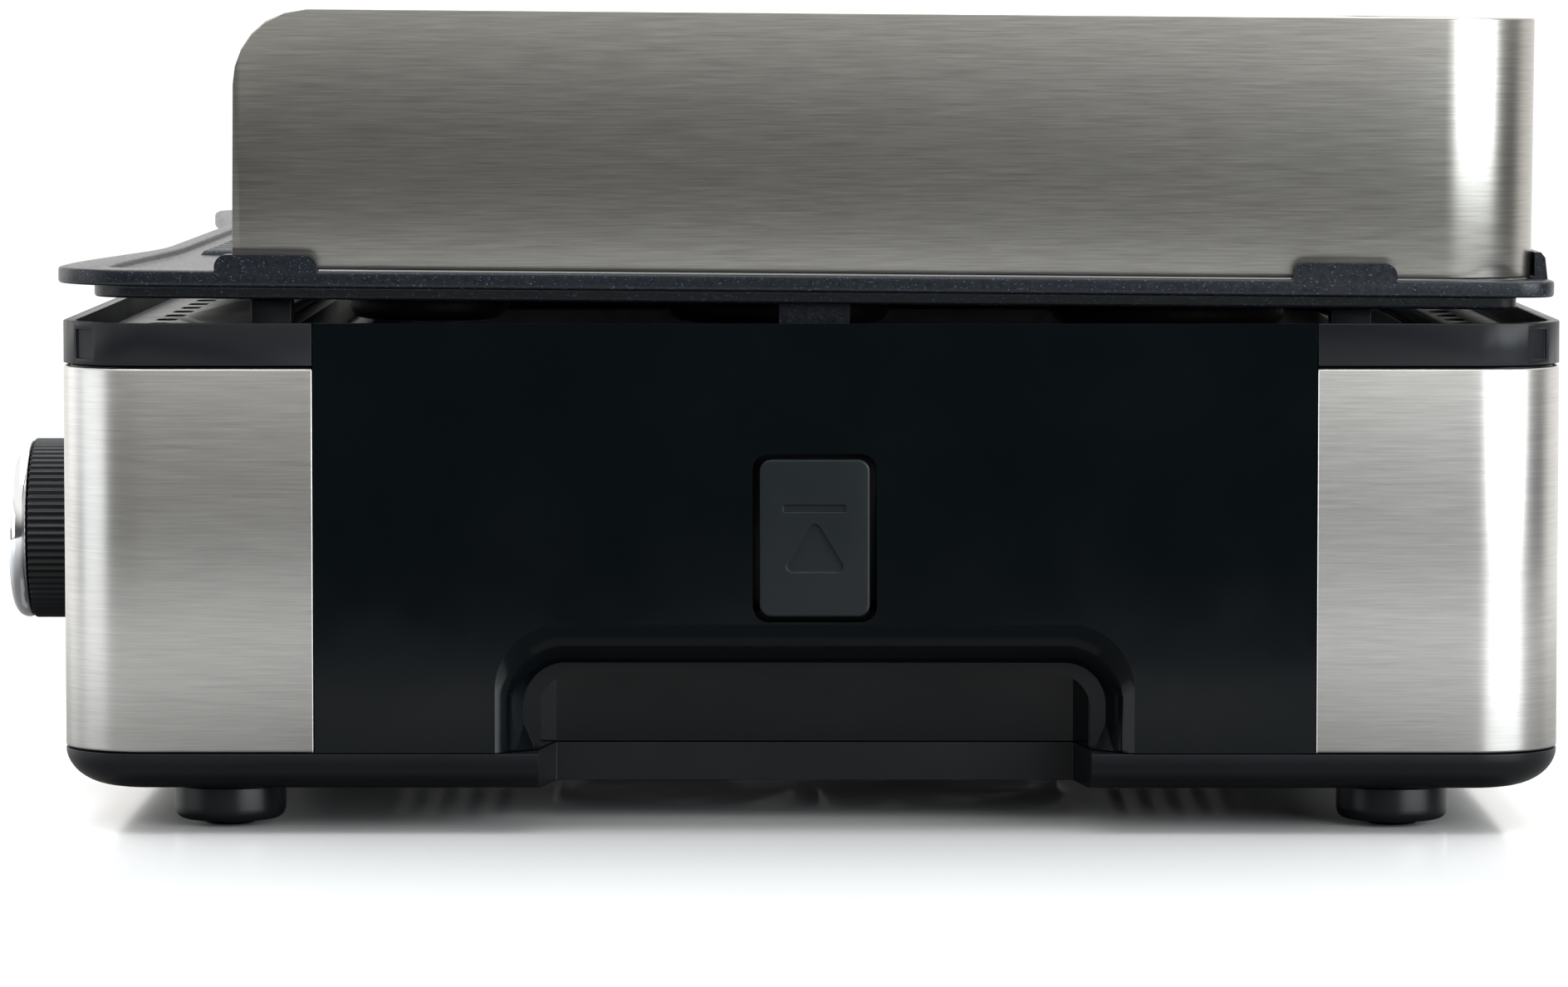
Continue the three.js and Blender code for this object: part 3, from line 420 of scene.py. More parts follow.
def arc(centre, radius, start, end, steps):
    """Points on a circle: centre plus radius times the cosine and sine of evenly spaced angles in degrees."""
    angle = np.radians(np.linspace(start, end, steps))
    return np.array(centre) + radius * np.stack([np.cos(angle), np.sin(angle)], -1)


def round_rect(x0, x1, y0, y1, r, steps=9):
    """A rectangle with a quarter circle at each corner, anticlockwise."""
    r = max(r, 0.01 * MM)
    return np.concatenate(
        [
            arc((x1 - r, y0 + r), r, -90, 0, steps),
            arc((x1 - r, y1 - r), r, 0, 90, steps),
            arc((x0 + r, y1 - r), r, 90, 180, steps),
            arc((x0 + r, y0 + r), r, 180, 270, steps),
        ]
    )


def lift(flat, axis, station):
    """Puts a flat outline at a station of an axis: its plane is (Y, Z) for x, (X, Z) for y, (X, Y) for z."""
    fixed = np.full(len(flat), station)
    columns = {"x": (fixed, *flat.T), "y": (flat[:, 0], fixed, flat[:, 1]), "z": (*flat.T, fixed)}
    return np.stack(columns[axis], -1)


def prism(outline, axis, low, high, name="cutter"):
    """An outline carried straight along an axis."""
    return loft(name, [lift(outline, axis, low), lift(outline, axis, high)])


def block(x0, x1, y0, y1, z0, z1):
    """A plain block, used only to join to or cut from a shaped piece."""
    return prism(np.array([(x0, y0), (x1, y0), (x1, y1), (x0, y1)]), "z", z0, z1)


def rod(axis, a, b, radius, low, high, steps=40):
    """A round bar along an axis, used to cut holes."""
    return prism(arc((a, b), radius, 0, 360, steps + 1)[:-1], axis, low, high)


def fillet(corners, radii, steps=5):
    """Rounds a line's corners: each becomes (1-t)^2 A + 2t(1-t) C + t^2 B between its two sides."""
    corners = np.asarray(corners, float)
    t = np.linspace(0, 1, steps)[:, None]
    line = [corners[:1]]
    for before, corner, after, radius in zip(corners, corners[1:], corners[2:], radii):
        back, ahead = before - corner, after - corner
        near = corner + back * min(radius / np.linalg.norm(back), 0.5)
        far = corner + ahead * min(radius / np.linalg.norm(ahead), 0.5)
        line.append((1 - t) ** 2 * near + 2 * t * (1 - t) * corner + t**2 * far)
    line.append(corners[-1:])
    return np.concatenate(line)


def lathe(name, profile, axis, a, b, steps=96, wave=None):
    """A profile of (radius, station) turned round an axis.

    A wave takes the angles and the profile, and gives what to take off the radius.
    """
    angle = np.linspace(0, 2 * np.pi, steps, endpoint=False)
    radius = np.maximum(profile[:, :1], 0.02 * MM) * np.ones_like(angle)
    if wave is not None:
        radius = radius - wave(angle, profile)
    station = profile[:, 1:] * np.ones_like(angle)
    u, v = a + radius * np.cos(angle), b + radius * np.sin(angle)
    order = {"x": (station, u, v), "y": (u, station, v), "z": (u, v, station)}
    return loft(name, np.stack(order[axis], -1))


def tilted(piece):
    """Turns a piece from the plate's own frame to its place: it falls to the rear by the plate's tilt."""
    mesh = piece.data
    flat = np.empty(len(mesh.vertices) * 3)
    mesh.vertices.foreach_get("co", flat)
    x, y, z = flat.reshape(-1, 3).T
    cos, sin = math.cos(TILT), math.sin(TILT)
    turned = np.stack([x, y * cos + z * sin, PLATE_Z - y * sin + z * cos], -1)
    mesh.vertices.foreach_set("co", turned.ravel())
    mesh.update()
    return piece


def settle(piece):
    """Applies a piece's modifiers to its mesh."""
    graph = bpy.context.evaluated_depsgraph_get()
    made = bpy.data.meshes.new_from_object(piece.evaluated_get(graph))
    piece.modifiers.clear()
    piece.data = made
    return piece


def combine(piece, others, operation):
    """Joins other solids to a piece, or cuts them from it, and then removes them."""
    for other in others:
        modifier = piece.modifiers.new(operation.lower(), "BOOLEAN")
        modifier.operation = operation
        modifier.solver = "EXACT"
        modifier.object = other
    settle(piece)
    for other in others:
        bpy.data.objects.remove(other)
    return piece


def cut(piece, *others):
    return combine(piece, others, "DIFFERENCE")


def join(piece, *others):
    return combine(piece, others, "UNION")


def merge_flat(piece, degrees=0.4):
    """Joins doubled points, and neighbouring faces that lie in one plane."""
    shell = bmesh.new()
    shell.from_mesh(piece.data)
    bmesh.ops.remove_doubles(shell, verts=shell.verts, dist=MERGE * 3)
    bmesh.ops.dissolve_limit(shell, angle_limit=math.radians(degrees), verts=shell.verts, edges=shell.edges)
    shell.to_mesh(piece.data)
    shell.free()
    return piece


def mirrored(piece, side):
    """Mirrors a right-hand piece across X for the left, and turns its faces out again."""
    if side < 0:
        mesh = piece.data
        flat = np.empty(len(mesh.vertices) * 3)
        mesh.vertices.foreach_get("co", flat)
        mesh.vertices.foreach_set("co", (flat.reshape(-1, 3) * (-1, 1, 1)).ravel())
        mesh.flip_normals()
        mesh.update()
    return piece


def round_edges(piece, width, segments=3, degrees=32):
    """Rounds every edge sharper than an angle and shades the piece smooth."""
    piece.data.shade_smooth()
    bevel = piece.modifiers.new("edges", "BEVEL")
    bevel.width = width
    bevel.segments = segments
    bevel.limit_method = "ANGLE"
    bevel.angle_limit = math.radians(degrees)
    bevel.harden_normals = True
    return piece


def stand_for(piece, node, finish=None):
    """The piece moves with its node's body, takes its slot and its finish, and shows in its place."""
    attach(piece, NODES[node]["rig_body"])
    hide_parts(node)
    piece.data.materials.clear()
    piece.data.materials.append(FINISHES[finish or SLOTS[node]])
    return piece


def refine(node, edge, segments=2, degrees=32):
    """A copy of a frame node whose facets are merged and whose edges are rounded."""
    piece = bpy.data.objects.new(f"{node}_finished", NODES[node].data.copy())
    bpy.context.scene.collection.objects.link(piece)
    merge_flat(piece)
    round_edges(piece, edge, segments, degrees)
    return stand_for(piece, node)


# ---- steel sheet ----
def bent_path(half_x, start_y, end_y, bend, steps=24):
    """Plan of a sheet that runs along the right side, round a bend, across and back along the left side.

    Points, and the outward normal at each: square to a straight run, and away from the centre on a bend.
    """
    way = 1 if end_y > start_y else -1
    centre = np.array((half_x - bend, end_y - way * bend))
    angle = np.radians(np.linspace(0, 90, steps))
    normal = np.stack([np.cos(angle), way * np.sin(angle)], -1)
    corner = centre + bend * normal
    ease = 1 - np.cos(np.linspace(0, np.pi / 2, 28))
    side_y = start_y + (corner[0, 1] - start_y) * ease[:-1]
    side = np.stack([np.full(len(side_y), half_x), side_y], -1)
    right = np.concatenate([side, corner])
    facing = np.concatenate([np.tile((1.0, 0.0), (len(side), 1)), normal])
    flip = np.array((-1, 1))
    return np.concatenate([right, right[::-1] * flip]), np.concatenate([facing, facing[::-1] * flip])


def bent_sheet(name, path, facing, thickness, low, high):
    """A sheet carried along a plan path, with half-round top and bottom edges.

    Its section runs up the outside, over the top, down the inside and under the bottom. The top is one height,
    or one for each point of the path.
    """
    half = thickness / 2
    angle = np.linspace(0, np.pi, 7)
    over = np.stack([half * np.cos(angle) - half, half * np.sin(angle) - half], -1)
    under = np.stack([-half * np.cos(angle) - half, half - half * np.sin(angle)], -1)
    section = np.concatenate([over, under])
    is_top = np.concatenate([np.ones(len(over)), np.zeros(len(under))])
    high = np.broadcast_to(high, (len(path),))[:, None]
    z = low + (high - low) * is_top + section[:, 1]
    plan = path[:, None, :] + facing[:, None, :] * section[None, :, :1]
    return loft(name, np.concatenate([plan, z[:, :, None]], -1))


def steel_wrap(tag, side):
    """The steel skin round the front or the rear of the base."""
    low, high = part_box(f"{tag}_steel_wrap")
    joint = high.y if side < 0 else low.y
    path, facing = bent_path(HALF_W, joint, side * HALF_D, CORNER_R)
    piece = bent_sheet(f"{tag}_steel_skin", path, facing, STEEL_T, low.z, high.z)
    if side < 0:
        w, h = SWITCH["w"] / 2 + 0.4 * MM, SWITCH["h"] / 2 + 0.4 * MM
        x, z = SWITCH["x"], SWITCH["z"]
        holes = [
            rod("y", KNOB["x"], KNOB["z"], KNOB["hole"], -0.18, -0.16),
            rod("y", LAMP["x"], LAMP["z"], LAMP["r"] + GAP, -0.18, -0.16),
            prism(round_rect(x - w, x + w, z - h, z + h, 2.4 * MM), "y", -0.18, -0.16),
        ]
    else:
        w, h = INLET["w"] / 2 + GAP, INLET["h"] / 2 + GAP
        holes = [block(INLET["x"] - w, INLET["x"] + w, 0.16, 0.18, INLET["z"] - h, INLET["z"] + h)]
    cut(piece, *holes)
    round_edges(piece, 0.55 * MM, 3, 60)
    return stand_for(piece, f"{tag}_steel_wrap")


def splash_guard(sheet):
    """The guard: one bent sheet whose upper front corners are quarter circles."""
    path, facing = bent_path(GUARD["x"], GUARD["front"], GUARD["rear"], GUARD["bend"])
    reach = np.where(np.abs(path[:, 0]) > GUARD["x"] - MERGE, path[:, 1] - GUARD["front"], 1.0)
    drop = np.clip(GUARD_TOP_R - reach, 0, GUARD_TOP_R)
    top = GUARD["height"] - GUARD_TOP_R + np.sqrt(np.maximum(GUARD_TOP_R**2 - drop**2, 0))
    piece = tilted(bent_sheet("guard_sheet", path, facing, sheet, GAP, top))
    round_edges(piece, 0.12 * MM, 2, 60)
    return stand_for(piece, "splash_guard", "guard_steel")


# ---- side panels and release buttons ----
def arch(half, top, r, bottom, steps=20):
    """The grip's arch, open downward: two straight legs, two quarter circles and a flat top."""
    return np.concatenate(
        [
            [(SIDE_Y + half, bottom)],
            arc((SIDE_Y + half - r, top - r), r, 0, 90, steps),
            arc((SIDE_Y - half + r, top - r), r, 90, 180, steps),
            [(SIDE_Y - half, bottom)],
        ]
    )


def grip_plan():
    """Plan of the pocket: straight at the mouth, then drawn in to the back wall."""
    mouth, back = HALF_W - GRIP["funnel"], HALF_W - GRIP["back"]
    half, narrow = GRIP["mouth"][0], GRIP["half_back"]
    out = HALF_W + 5 * MM
    return np.array(
        [
            (back, SIDE_Y - narrow),
            (mouth, SIDE_Y - half),
            (out, SIDE_Y - half),
            (out, SIDE_Y + half),
            (mouth, SIDE_Y + half),
            (back, SIDE_Y + narrow),
        ]
    )


def funnel_rings(inner, outer):
    """Rings from the funnel's inner edge, t = 1, to its outer edge, t = 0, and a millimetre past the face.

    The depth below the face goes as e t + (1 - e) t cubed, where e is the ease.
    """
    ease, deepest = GRIP["ease"], GRIP["funnel"]
    shares = np.array([1, 0.8, 0.6, 0.4, 0.2, 0, -MM / (ease * deepest)])
    depths = deepest * (ease * shares + (1 - ease) * np.maximum(shares, 0) ** 3)
    outlines = outer + (inner - outer) * shares[:, None, None]
    return [lift(outline, "x", HALF_W - depth) for outline, depth in zip(outlines, depths)]


def grip_facet(end):
    """The sloping facet that closes a leg of the funnel above the seam: a pyramid on five points."""
    deep, z = HALF_W - GRIP["funnel"] - MM, PANEL_LOW.z
    outer, inner, mouth = GRIP["outer"][0], GRIP["inner"][0], GRIP["mouth"][0]
    corners = [
        (HALF_W - 0.2 * MM, outer - 0.1 * MM, z),
        (deep, outer, z),
        (deep, inner, GRIP["facet_z"]),
        (deep, mouth, z),
        (deep, outer, GRIP["facet_z"]),
    ]
    hull = bmesh.new()
    for x, y, height in corners:
        hull.verts.new((x, SIDE_Y + end * y, height))
    bmesh.ops.convex_hull(hull, input=hull.verts)
    mesh = bpy.data.meshes.new("facet")
    hull.to_mesh(mesh)
    hull.free()
    piece = bpy.data.objects.new("facet", mesh)
    bpy.context.scene.collection.objects.link(piece)
    return piece


def side_panel(tag, side, lip):
    """The gloss panel: its face, shelf and pocket, cut by the funnel, the mouth and the button's opening."""
    y0, y1, z0, z1 = PANEL_LOW.y, PANEL_HIGH.y, PANEL_LOW.z, PANEL_HIGH.z
    back = HALF_W - GRIP["back"]
    face = np.array([(y0, z0), (y1, z0), (y1, z1), (y0, z1)])
    piece = prism(face, "x", HALF_W - PANEL_T, HALF_W, f"panel_{tag}")
    shelf = block(TUB_HALF_X + 3 * MM, HALF_W - MM, y0, y1, LEDGE_Z - LEDGE_T, LEDGE_Z)
    pocket = block(back - 2 * MM, HALF_W - MM, SIDE_Y - 75 * MM, SIDE_Y + 75 * MM, z0, 50 * MM)
    join(piece, shelf, pocket)
    bottom = z0 - 10 * MM
    deep = HALF_W - GRIP["funnel"]
    inner, outer = arch(*GRIP["inner"], bottom), arch(*GRIP["outer"], bottom)
    funnel = loft("funnel", funnel_rings(inner, outer))
    mouth = prism(arch(*GRIP["mouth"], bottom), "x", deep - GRIP["lip"], HALF_W)
    cut(piece, funnel, mouth)
    join(piece, grip_facet(1), grip_facet(-1))
    hollow = grip_plan()
    hollow[:, 0] = np.minimum(hollow[:, 0], deep - 3 * MM)
    w, h = OPENING["half_w"], OPENING["half_h"]
    opening = round_rect(SIDE_Y - w, SIDE_Y + w, BUTTON["z"] - h, BUTTON["z"] + h, OPENING["r"])
    latch_way = block(TUB_HALF_X + 6 * MM, 222.5 * MM, SIDE_Y - 10 * MM, SIDE_Y + 10 * MM, 0.1, 0.12)
    cut(piece, prism(hollow, "z", 5 * MM, GRIP["hook_z"]), prism(opening, "x", 0.225, 0.24), latch_way)
    mirrored(piece, side)
    if side < 0:
        x, y = SOCKET["x"], SOCKET["y"]
        w, h = SOCKET["half_x"] + GAP, SOCKET["half_y"] + GAP
        cut(piece, block(x - w, x + w, y - h, y + h, 0.09, 0.112))
    merge_flat(piece)
    round_edges(piece, lip, 3, 12)
    return stand_for(piece, f"side_panel_{tag}")


def release_button(tag, side):
    """The button: a face with rounded edges, an engraved bar over an engraved triangle, and its stem."""
    half_w, half_h, r, z = BUTTON["half_w"], BUTTON["half_h"], BUTTON["r"], BUTTON["z"]
    face = HALF_W - GAP
    rear = face - BUTTON["thick"]
    edge = fillet([(0, rear), (0, face), (3 * MM, face)], [0.7 * MM], 6)[:-1]

    def ring(d):
        return round_rect(SIDE_Y - half_w + d, SIDE_Y + half_w - d, z - half_h + d, z + half_h - d, r - d)

    piece = loft(f"button_{tag}", [lift(ring(inset), "x", x) for inset, x in edge])
    join(piece, block(0.219, rear + 0.5 * MM, SIDE_Y - 6 * MM, SIDE_Y + 6 * MM, z - 10 * MM, z + 10 * MM))
    depth = 0.9 * MM
    bar = round_rect(SIDE_Y - 7.1 * MM, SIDE_Y + 7.1 * MM, z + 5.95 * MM, z + 7.45 * MM, 0.3 * MM)
    cut(piece, *(prism(mark, "x", face - depth, face + MM) for mark in (bar, release_triangle(z))))
    mirrored(piece, side)
    merge_flat(piece)
    round_edges(piece, 0.22 * MM, 2, 40)
    return stand_for(piece, f"release_button_{tag}")


def release_triangle(z):
    """An upward triangle with round corners: a foot, the apex and the other foot, each a short arc."""
    r = 1.3 * MM
    half, foot, apex = 6.35 * MM - r, z - 7.7 * MM + r, z + 3.1 * MM - r
    side = 90 - math.degrees(math.atan2(apex - foot, half))
    return np.concatenate(
        [
            arc((SIDE_Y + half, foot), r, -90, side, 8),
            arc((SIDE_Y, apex), r, side, 180 - side, 8),
            arc((SIDE_Y - half, foot), r, 180 - side, 270, 8),
        ]
    )


# ---- bottom cover and feet ----
def base_plan(inset):
    """The base's outline moved inward."""
    w, d = HALF_W - inset, HALF_D - inset
    return round_rect(-w, w, -d, d, max(CORNER_R - inset, 2 * MM), 14)


def bottom_cover():
    """The cover: an outline whose lower edge is a quarter ellipse, hollow above its floor."""
    low, high = COVER_LOW.z, COVER_HIGH.z
    edge_in, edge_up, wall = 12 * MM, high - low, 6 * MM
    angle = np.linspace(0, np.pi / 2, 12)
    insets = edge_in * (1 - np.sin(angle))
    heights = low + edge_up * (1 - np.cos(angle))
    piece = loft("cover_shell", [lift(base_plan(inset), "z", z) for inset, z in zip(insets, heights)])
    hollow = prism(base_plan(wall), "z", 14 * MM, high + MM)
    walls, notches, bosses, holes = [], [], [], []
    for side in (1, -1):
        x0, x1, reach = HALF_W - GRIP["back"] - 2.5 * MM, HALF_W - 5 * MM, 66 * MM
        plan = round_rect(x0, x1, SIDE_Y - reach, SIDE_Y + reach, 2 * MM)
        walls.append(mirrored(prism(plan, "z", low, high + 2 * MM), side))
        notches.append(mirrored(prism(grip_plan(), "z", 5 * MM, 30 * MM), side))
    for x, y in [(sx * SCREW["x"], sy * SCREW["y"]) for sx in (1, -1) for sy in (1, -1)]:
        bosses.append(rod("z", x, y, 6.5 * MM, low, high + 2 * MM, 24))
        holes.append(rod("z", x, y, 4.5 * MM, 5 * MM, 14.9 * MM, 24))
        holes.append(rod("z", x, y, 2.2 * MM, 5 * MM, 30 * MM, 16))
    cut(hollow, *walls, *bosses)
    cut(piece, hollow)
    half = VENT["half"]
    row = [VENT_ROW["first"] + step * VENT_ROW["pitch"] for step in range(VENT_ROW["count"])]
    centres = [side * y for side in (1, -1) for y in row]
    plans = [round_rect(*VENT["x"], y - half, y + half, VENT["r"], 5) for y in centres]
    slots = [prism(plan, "z", 5 * MM, 30 * MM) for plan in plans]
    fan_way = rod("z", FAN["x"], FAN["y"], FAN["opening"], 5 * MM, 30 * MM, 72)
    cut(piece, *notches, *holes, fan_way, *slots)
    merge_flat(piece)
    round_edges(piece, 0.3 * MM, 2, 40)
    return stand_for(piece, "bottom_cover")


def foot(tag, x, y):
    """A turned foot with a rounded lower edge and a recess, and the domed rubber pad in it."""
    low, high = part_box(f"foot_{tag}")
    r, recess, depth = FOOT["r"], FOOT["pad"] + GAP, 3.2 * MM
    profile = [(0, depth), (recess, depth), (recess, low.z), (r, low.z), (r, high.z), (0, high.z)]
    body = lathe(f"foot_body_{tag}", fillet(profile, [0.3 * MM, 0.5 * MM, 3 * MM, 0.5 * MM], 7), "z", x, y)
    stand_for(round_edges(body, 0.05 * MM, 1, 80), f"foot_{tag}")
    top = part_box(f"foot_pad_{tag}")[1].z
    dome = fillet([(0, 0), (FOOT["pad"], 0), (FOOT["pad"], top), (0, top)], [3.5 * MM, 0.4 * MM], 8)
    pad = lathe(f"foot_pad_dome_{tag}", dome, "z", x, y, 48)
    stand_for(round_edges(pad, 0.05 * MM, 1, 80), f"foot_pad_{tag}")


# ---- plate ----
def plate_plan(side, front, waist, rear):
    """The plate's outline moved inward by an inset for each edge, its front drawn in along the middle.

    A straight waist, a cubic curve out to each front corner, and quarter circles at the four corners.
    """
    hx, y1 = PLATE["half_x"] - side, PLATE["rear"] - rear
    y0, yw = PLATE["front"] + front, PLATE["waist"] + waist
    rf, rr = max(PLATE["r_front"] - front, 6 * MM), max(PLATE["r_rear"] - rear, 4 * MM)
    half, bend = PLATE["waist_half"], PLATE["waist_half"] + 45 * MM
    t = np.linspace(0, 1, 24)[:, None]
    knots = np.array([(half, yw), (bend, yw), (hx - rf - 45 * MM, y0), (hx - rf, y0)])
    weights = np.concatenate([(1 - t) ** 3, 3 * t * (1 - t) ** 2, 3 * t**2 * (1 - t), t**3], 1)
    curve = (weights @ knots)[:-1]
    right = np.concatenate(
        [curve, arc((hx - rf, y0 + rf), rf, -90, 0, 12), arc((hx - rr, y1 - rr), rr, 0, 90, 10)]
    )
    return np.concatenate([right, right[::-1] * (-1, 1)])


def plate_ring(inset, z):
    """One ring of the plate at an inset from its edge."""
    insets = inset if isinstance(inset, tuple) else (inset,) * 4
    return lift(plate_plan(*insets), "z", z)


def plate_body():
    """The plate's skin: underside, skirt, rim with rounded edges, top land, and the wall down to the pan."""
    rim, skirt = PLATE["rim"], PLATE["skirt"]
    bottom = PLATE["bottom"]
    outside = fillet(
        [(skirt + 2 * MM, bottom), (skirt, bottom), (skirt, -rim), (0, -rim), (0, 0), (2 * MM, 0)],
        [0.8 * MM, 0.8 * MM, 0.9 * MM, 0.7 * MM],
    )
    rings = [plate_ring(inset, z) for inset, z in outside]
    inner = np.array(PAN_INSET)
    pan = PLATE["pan"]
    wall = fillet([(-1 * MM, 0), (0, 0), (0.5 * MM, pan), (2 * MM, pan)], [0.6 * MM] * 2)
    rings += [plate_ring(tuple(inner + step), z) for step, z in wall]
    return loft("plate_casting", rings)


def cooking_rib(x):
    """A rib along Y: a trapezium with a rounded crest, and ends that slope down into the pan."""
    base, crest = PLATE["pan"] - 0.4 * MM, RIB["crest"] * MM
    wide, narrow = RIB["base"] * MM / 2, RIB["top"] * MM / 2
    half = fillet([(wide, base), (narrow, crest), (0, crest)], [0.9 * MM], 5)
    section = np.concatenate([half, half[-2::-1] * (-1, 1)])
    y0, y1 = (y * MM for y in RIB["y"])
    stations = np.array((y0, y0 + 1.2 * MM, y0 + 3 * MM, y1 - 3 * MM, y1 - 1.2 * MM, y1))
    share = np.array((0.05, 0.75, 1, 1, 0.75, 0.05))[:, None]
    z = base + (section[:, 1] - base) * share
    across = x + section[:, 0] * (0.7 + 0.3 * share)
    along = stations[:, None] * np.ones(len(section))
    return loft("rib", np.stack([across, along, z], -1))


def tab(x0, x1, y0, y1, height):
    """A low tab with round upper corners."""
    r, base = 2.8 * MM, -1 * MM
    outline = np.concatenate(
        [
            [(y0, base), (y1, base)],
            arc((y1 - r, height - r), r, 0, 90, 9),
            arc((y0 + r, height - r), r, 90, 180, 9),
        ]
    )
    return prism(outline, "x", x0, x1)


def plate_tabs():
    """The tabs that hold the guard, two pairs on each side and one at each rear corner, and the catches."""
    slit = GUARD["x"] + GAP
    inner = GUARD["x"] - 1.2 * MM
    rear, edge = GUARD["rear"] + GAP, PLATE["rear"] - 0.4 * MM
    heights = np.array((-1, -1, 0, 4.8, 6, 6)) * MM
    slant = np.stack([(rear, edge, edge, rear + 2.4 * MM, rear + 1.4 * MM, rear), heights], -1)
    tabs, catches = [], []
    for side in (1, -1):
        for y0, y1, height in ((-134.2, -111.1, 3.6), (108.3, 131.7, 3.8)):
            for x0, x1 in ((slit, slit + 3.3 * MM), (inner - 2.4 * MM, inner)):
                tabs.append(mirrored(tab(x0, x1, y0 * MM, y1 * MM, height * MM), side))
        middle, half = side * REAR_TAB["x"], REAR_TAB["half"]
        tabs.append(prism(slant, "x", middle - half, middle + half))
        y0, y1 = SIDE_Y - CATCH["half_y"], SIDE_Y + CATCH["half_y"]
        catches.append(mirrored(block(*CATCH["x"], y0, y1, CATCH["low"], PLATE["bottom"] + 0.2 * MM), side))
    return tabs + catches


def grill_plate():
    """The cast plate: its body with ribs and tabs joined, and the gutter and drains cut."""
    piece = plate_body()
    gutter = round_rect(-GUTTER["half_x"], GUTTER["half_x"], *GUTTER["y"], GUTTER["r"])
    cut(piece, prism(gutter, "z", GUTTER["floor"], 5 * MM))
    ribs = [cooking_rib((RIB["right"] - step * RIB["pitch"]) * MM) for step in range(RIB["count"])]
    join(piece, *ribs, *plate_tabs())
    drains = [
        prism(round_rect(x - DRAIN["half_x"], x + DRAIN["half_x"], *DRAIN["y"], DRAIN["r"]), "z", -0.02, 0.02)
        for x in DRAIN["x"]
    ]
    cut(piece, *drains)
    merge_flat(tilted(piece), 0.2)
    round_edges(piece, 0.3 * MM, 2, 40)
    return stand_for(piece, "grill_plate")


def element_path():
    """Plan of the heating element: straight lanes joined by part circles, with both ends at the plug."""
    lanes = (60, 15, -30, -75)
    runs = [[(-204, 68), (-190, 68)], arc((-190, 88), 20, -90, 0, 10), arc((-150, 88), 20, 180, 90, 10)]
    runs += [arc((160, 84), 24, 90, -90, 20)]
    runs += [arc((-130, (lanes[0] + lanes[1]) / 2), 22.5, 90, 270, 20)]
    runs += [arc((160, (lanes[1] + lanes[2]) / 2), 22.5, 90, -90, 20)]
    runs += [arc((-130, (lanes[2] + lanes[3]) / 2), 22.5, 90, 270, 20)]
    runs += [arc((160, -90), 15, 90, -90, 16), arc((-165, -85), 20, 270, 180, 10)]
    runs += [[(-185, 32)], arc((-205, 32), 20, 0, 90, 10)]
    line = np.concatenate(runs) * MM
    keep = np.ones(len(line), bool)
    keep[1:] = np.linalg.norm(np.diff(line, axis=0), axis=1) > 0.5 * MM
    return line[keep]


def heating_element():
    """A round tube carried along the element's path: each ring is square to the path's mean direction."""
    line = element_path()
    ahead = np.gradient(line, axis=0)
    ahead /= np.linalg.norm(ahead, axis=1, keepdims=True)
    across = np.stack([ahead[:, 1], -ahead[:, 0]], -1)
    angle = np.linspace(0, 2 * np.pi, 20, endpoint=False)
    plan = line[:, None] + across[:, None] * (ELEMENT_R * np.cos(angle))[None, :, None]
    z = PLATE["bottom"] - GAP - ELEMENT_R + ELEMENT_R * np.sin(angle) * np.ones((len(line), 1))
    piece = tilted(loft("element_tube", np.concatenate([plan, z[:, :, None]], -1)))
    return stand_for(round_edges(piece, 0.2 * MM, 2, 60), "heating_element")


# ---- knob ----
def knob_body(ribs, depth):
    """The knob's grip: a cylinder whose radius falls by a cosine between its ribs, plain at both ends."""
    x, z, r = KNOB["x"], KNOB["z"], KNOB["r"]
    front, rear = KNOB_LOW.y, KNOB_HIGH.y
    hole, hole_end = 3.4 * MM, front + 1.5 * MM
    corners = [(0, front), (r, front), (r, rear), (hole, rear), (hole, hole_end), (0, hole_end)]
    profile = fillet(corners, [0.5 * MM, 0.5 * MM, 0.2 * MM, 0.2 * MM], 4)

    def groove(angle, line):
        on_side = line[:, :1] > r - 0.3 * MM
        return on_side * depth * (0.5 - 0.5 * np.cos(ribs * angle)) ** 0.7

    piece = lathe("knob_grip", profile, "y", x, z, ribs * 8, groove)
    return stand_for(round_edges(piece, 0.03 * MM, 1, 85), "knob_body")


def knob_cap():
    """The bright cap: a bulging ring round a shallow dish, with a raised pointer."""
    x, z, r = KNOB["x"], KNOB["z"], KNOB["r"]
    rear, front = CAP_HIGH.y, CAP_LOW.y
    dish = rear - 2.8 * MM
    corners = [(0, rear), (r - 0.4 * MM, rear), (r, rear - 1.2 * MM), (r - 0.6 * MM, rear - 3.2 * MM)]
    corners += [(r - 3 * MM, front), (r - 4.8 * MM, rear - 4 * MM), (r - 5.6 * MM, dish), (0, dish)]
    profile = fillet(corners, [0.4 * MM, 0.8 * MM, 1.3 * MM, 1.4 * MM, 0.8 * MM, 0.8 * MM], 7)
    piece = lathe("knob_crown", profile, "y", x, z, 128)
    pointer = round_rect(x - 1.1 * MM, x + 1.1 * MM, z + 4 * MM, z + 15 * MM, 1.05 * MM, 7)
    join(piece, prism(pointer, "y", rear - 4 * MM, rear - 2 * MM))
    return stand_for(round_edges(piece, 0.15 * MM, 2, 50), "knob_cap")


# ---- stage ----
def look(camera, place, direction):
    """Puts a camera or lamp at a place, facing a direction."""
    camera.location = place
    camera.rotation_euler = Vector(direction).to_track_quat("-Z", "Y").to_euler()


def soft_box(name, place, target, size, power):
    """A rectangular lamp aimed at a point, a little cool, that the camera doesn't see."""
    data = bpy.data.lights.new(name, "AREA")
    data.shape = "RECTANGLE"
    data.size, data.size_y = size
    data.energy = power
    data.color = LAMP_TINT
    lamp = bpy.data.objects.new(name, data)
    lamp.visible_camera = False
    bpy.context.scene.collection.objects.link(lamp)
    look(lamp, place, Vector(target) - Vector(place))


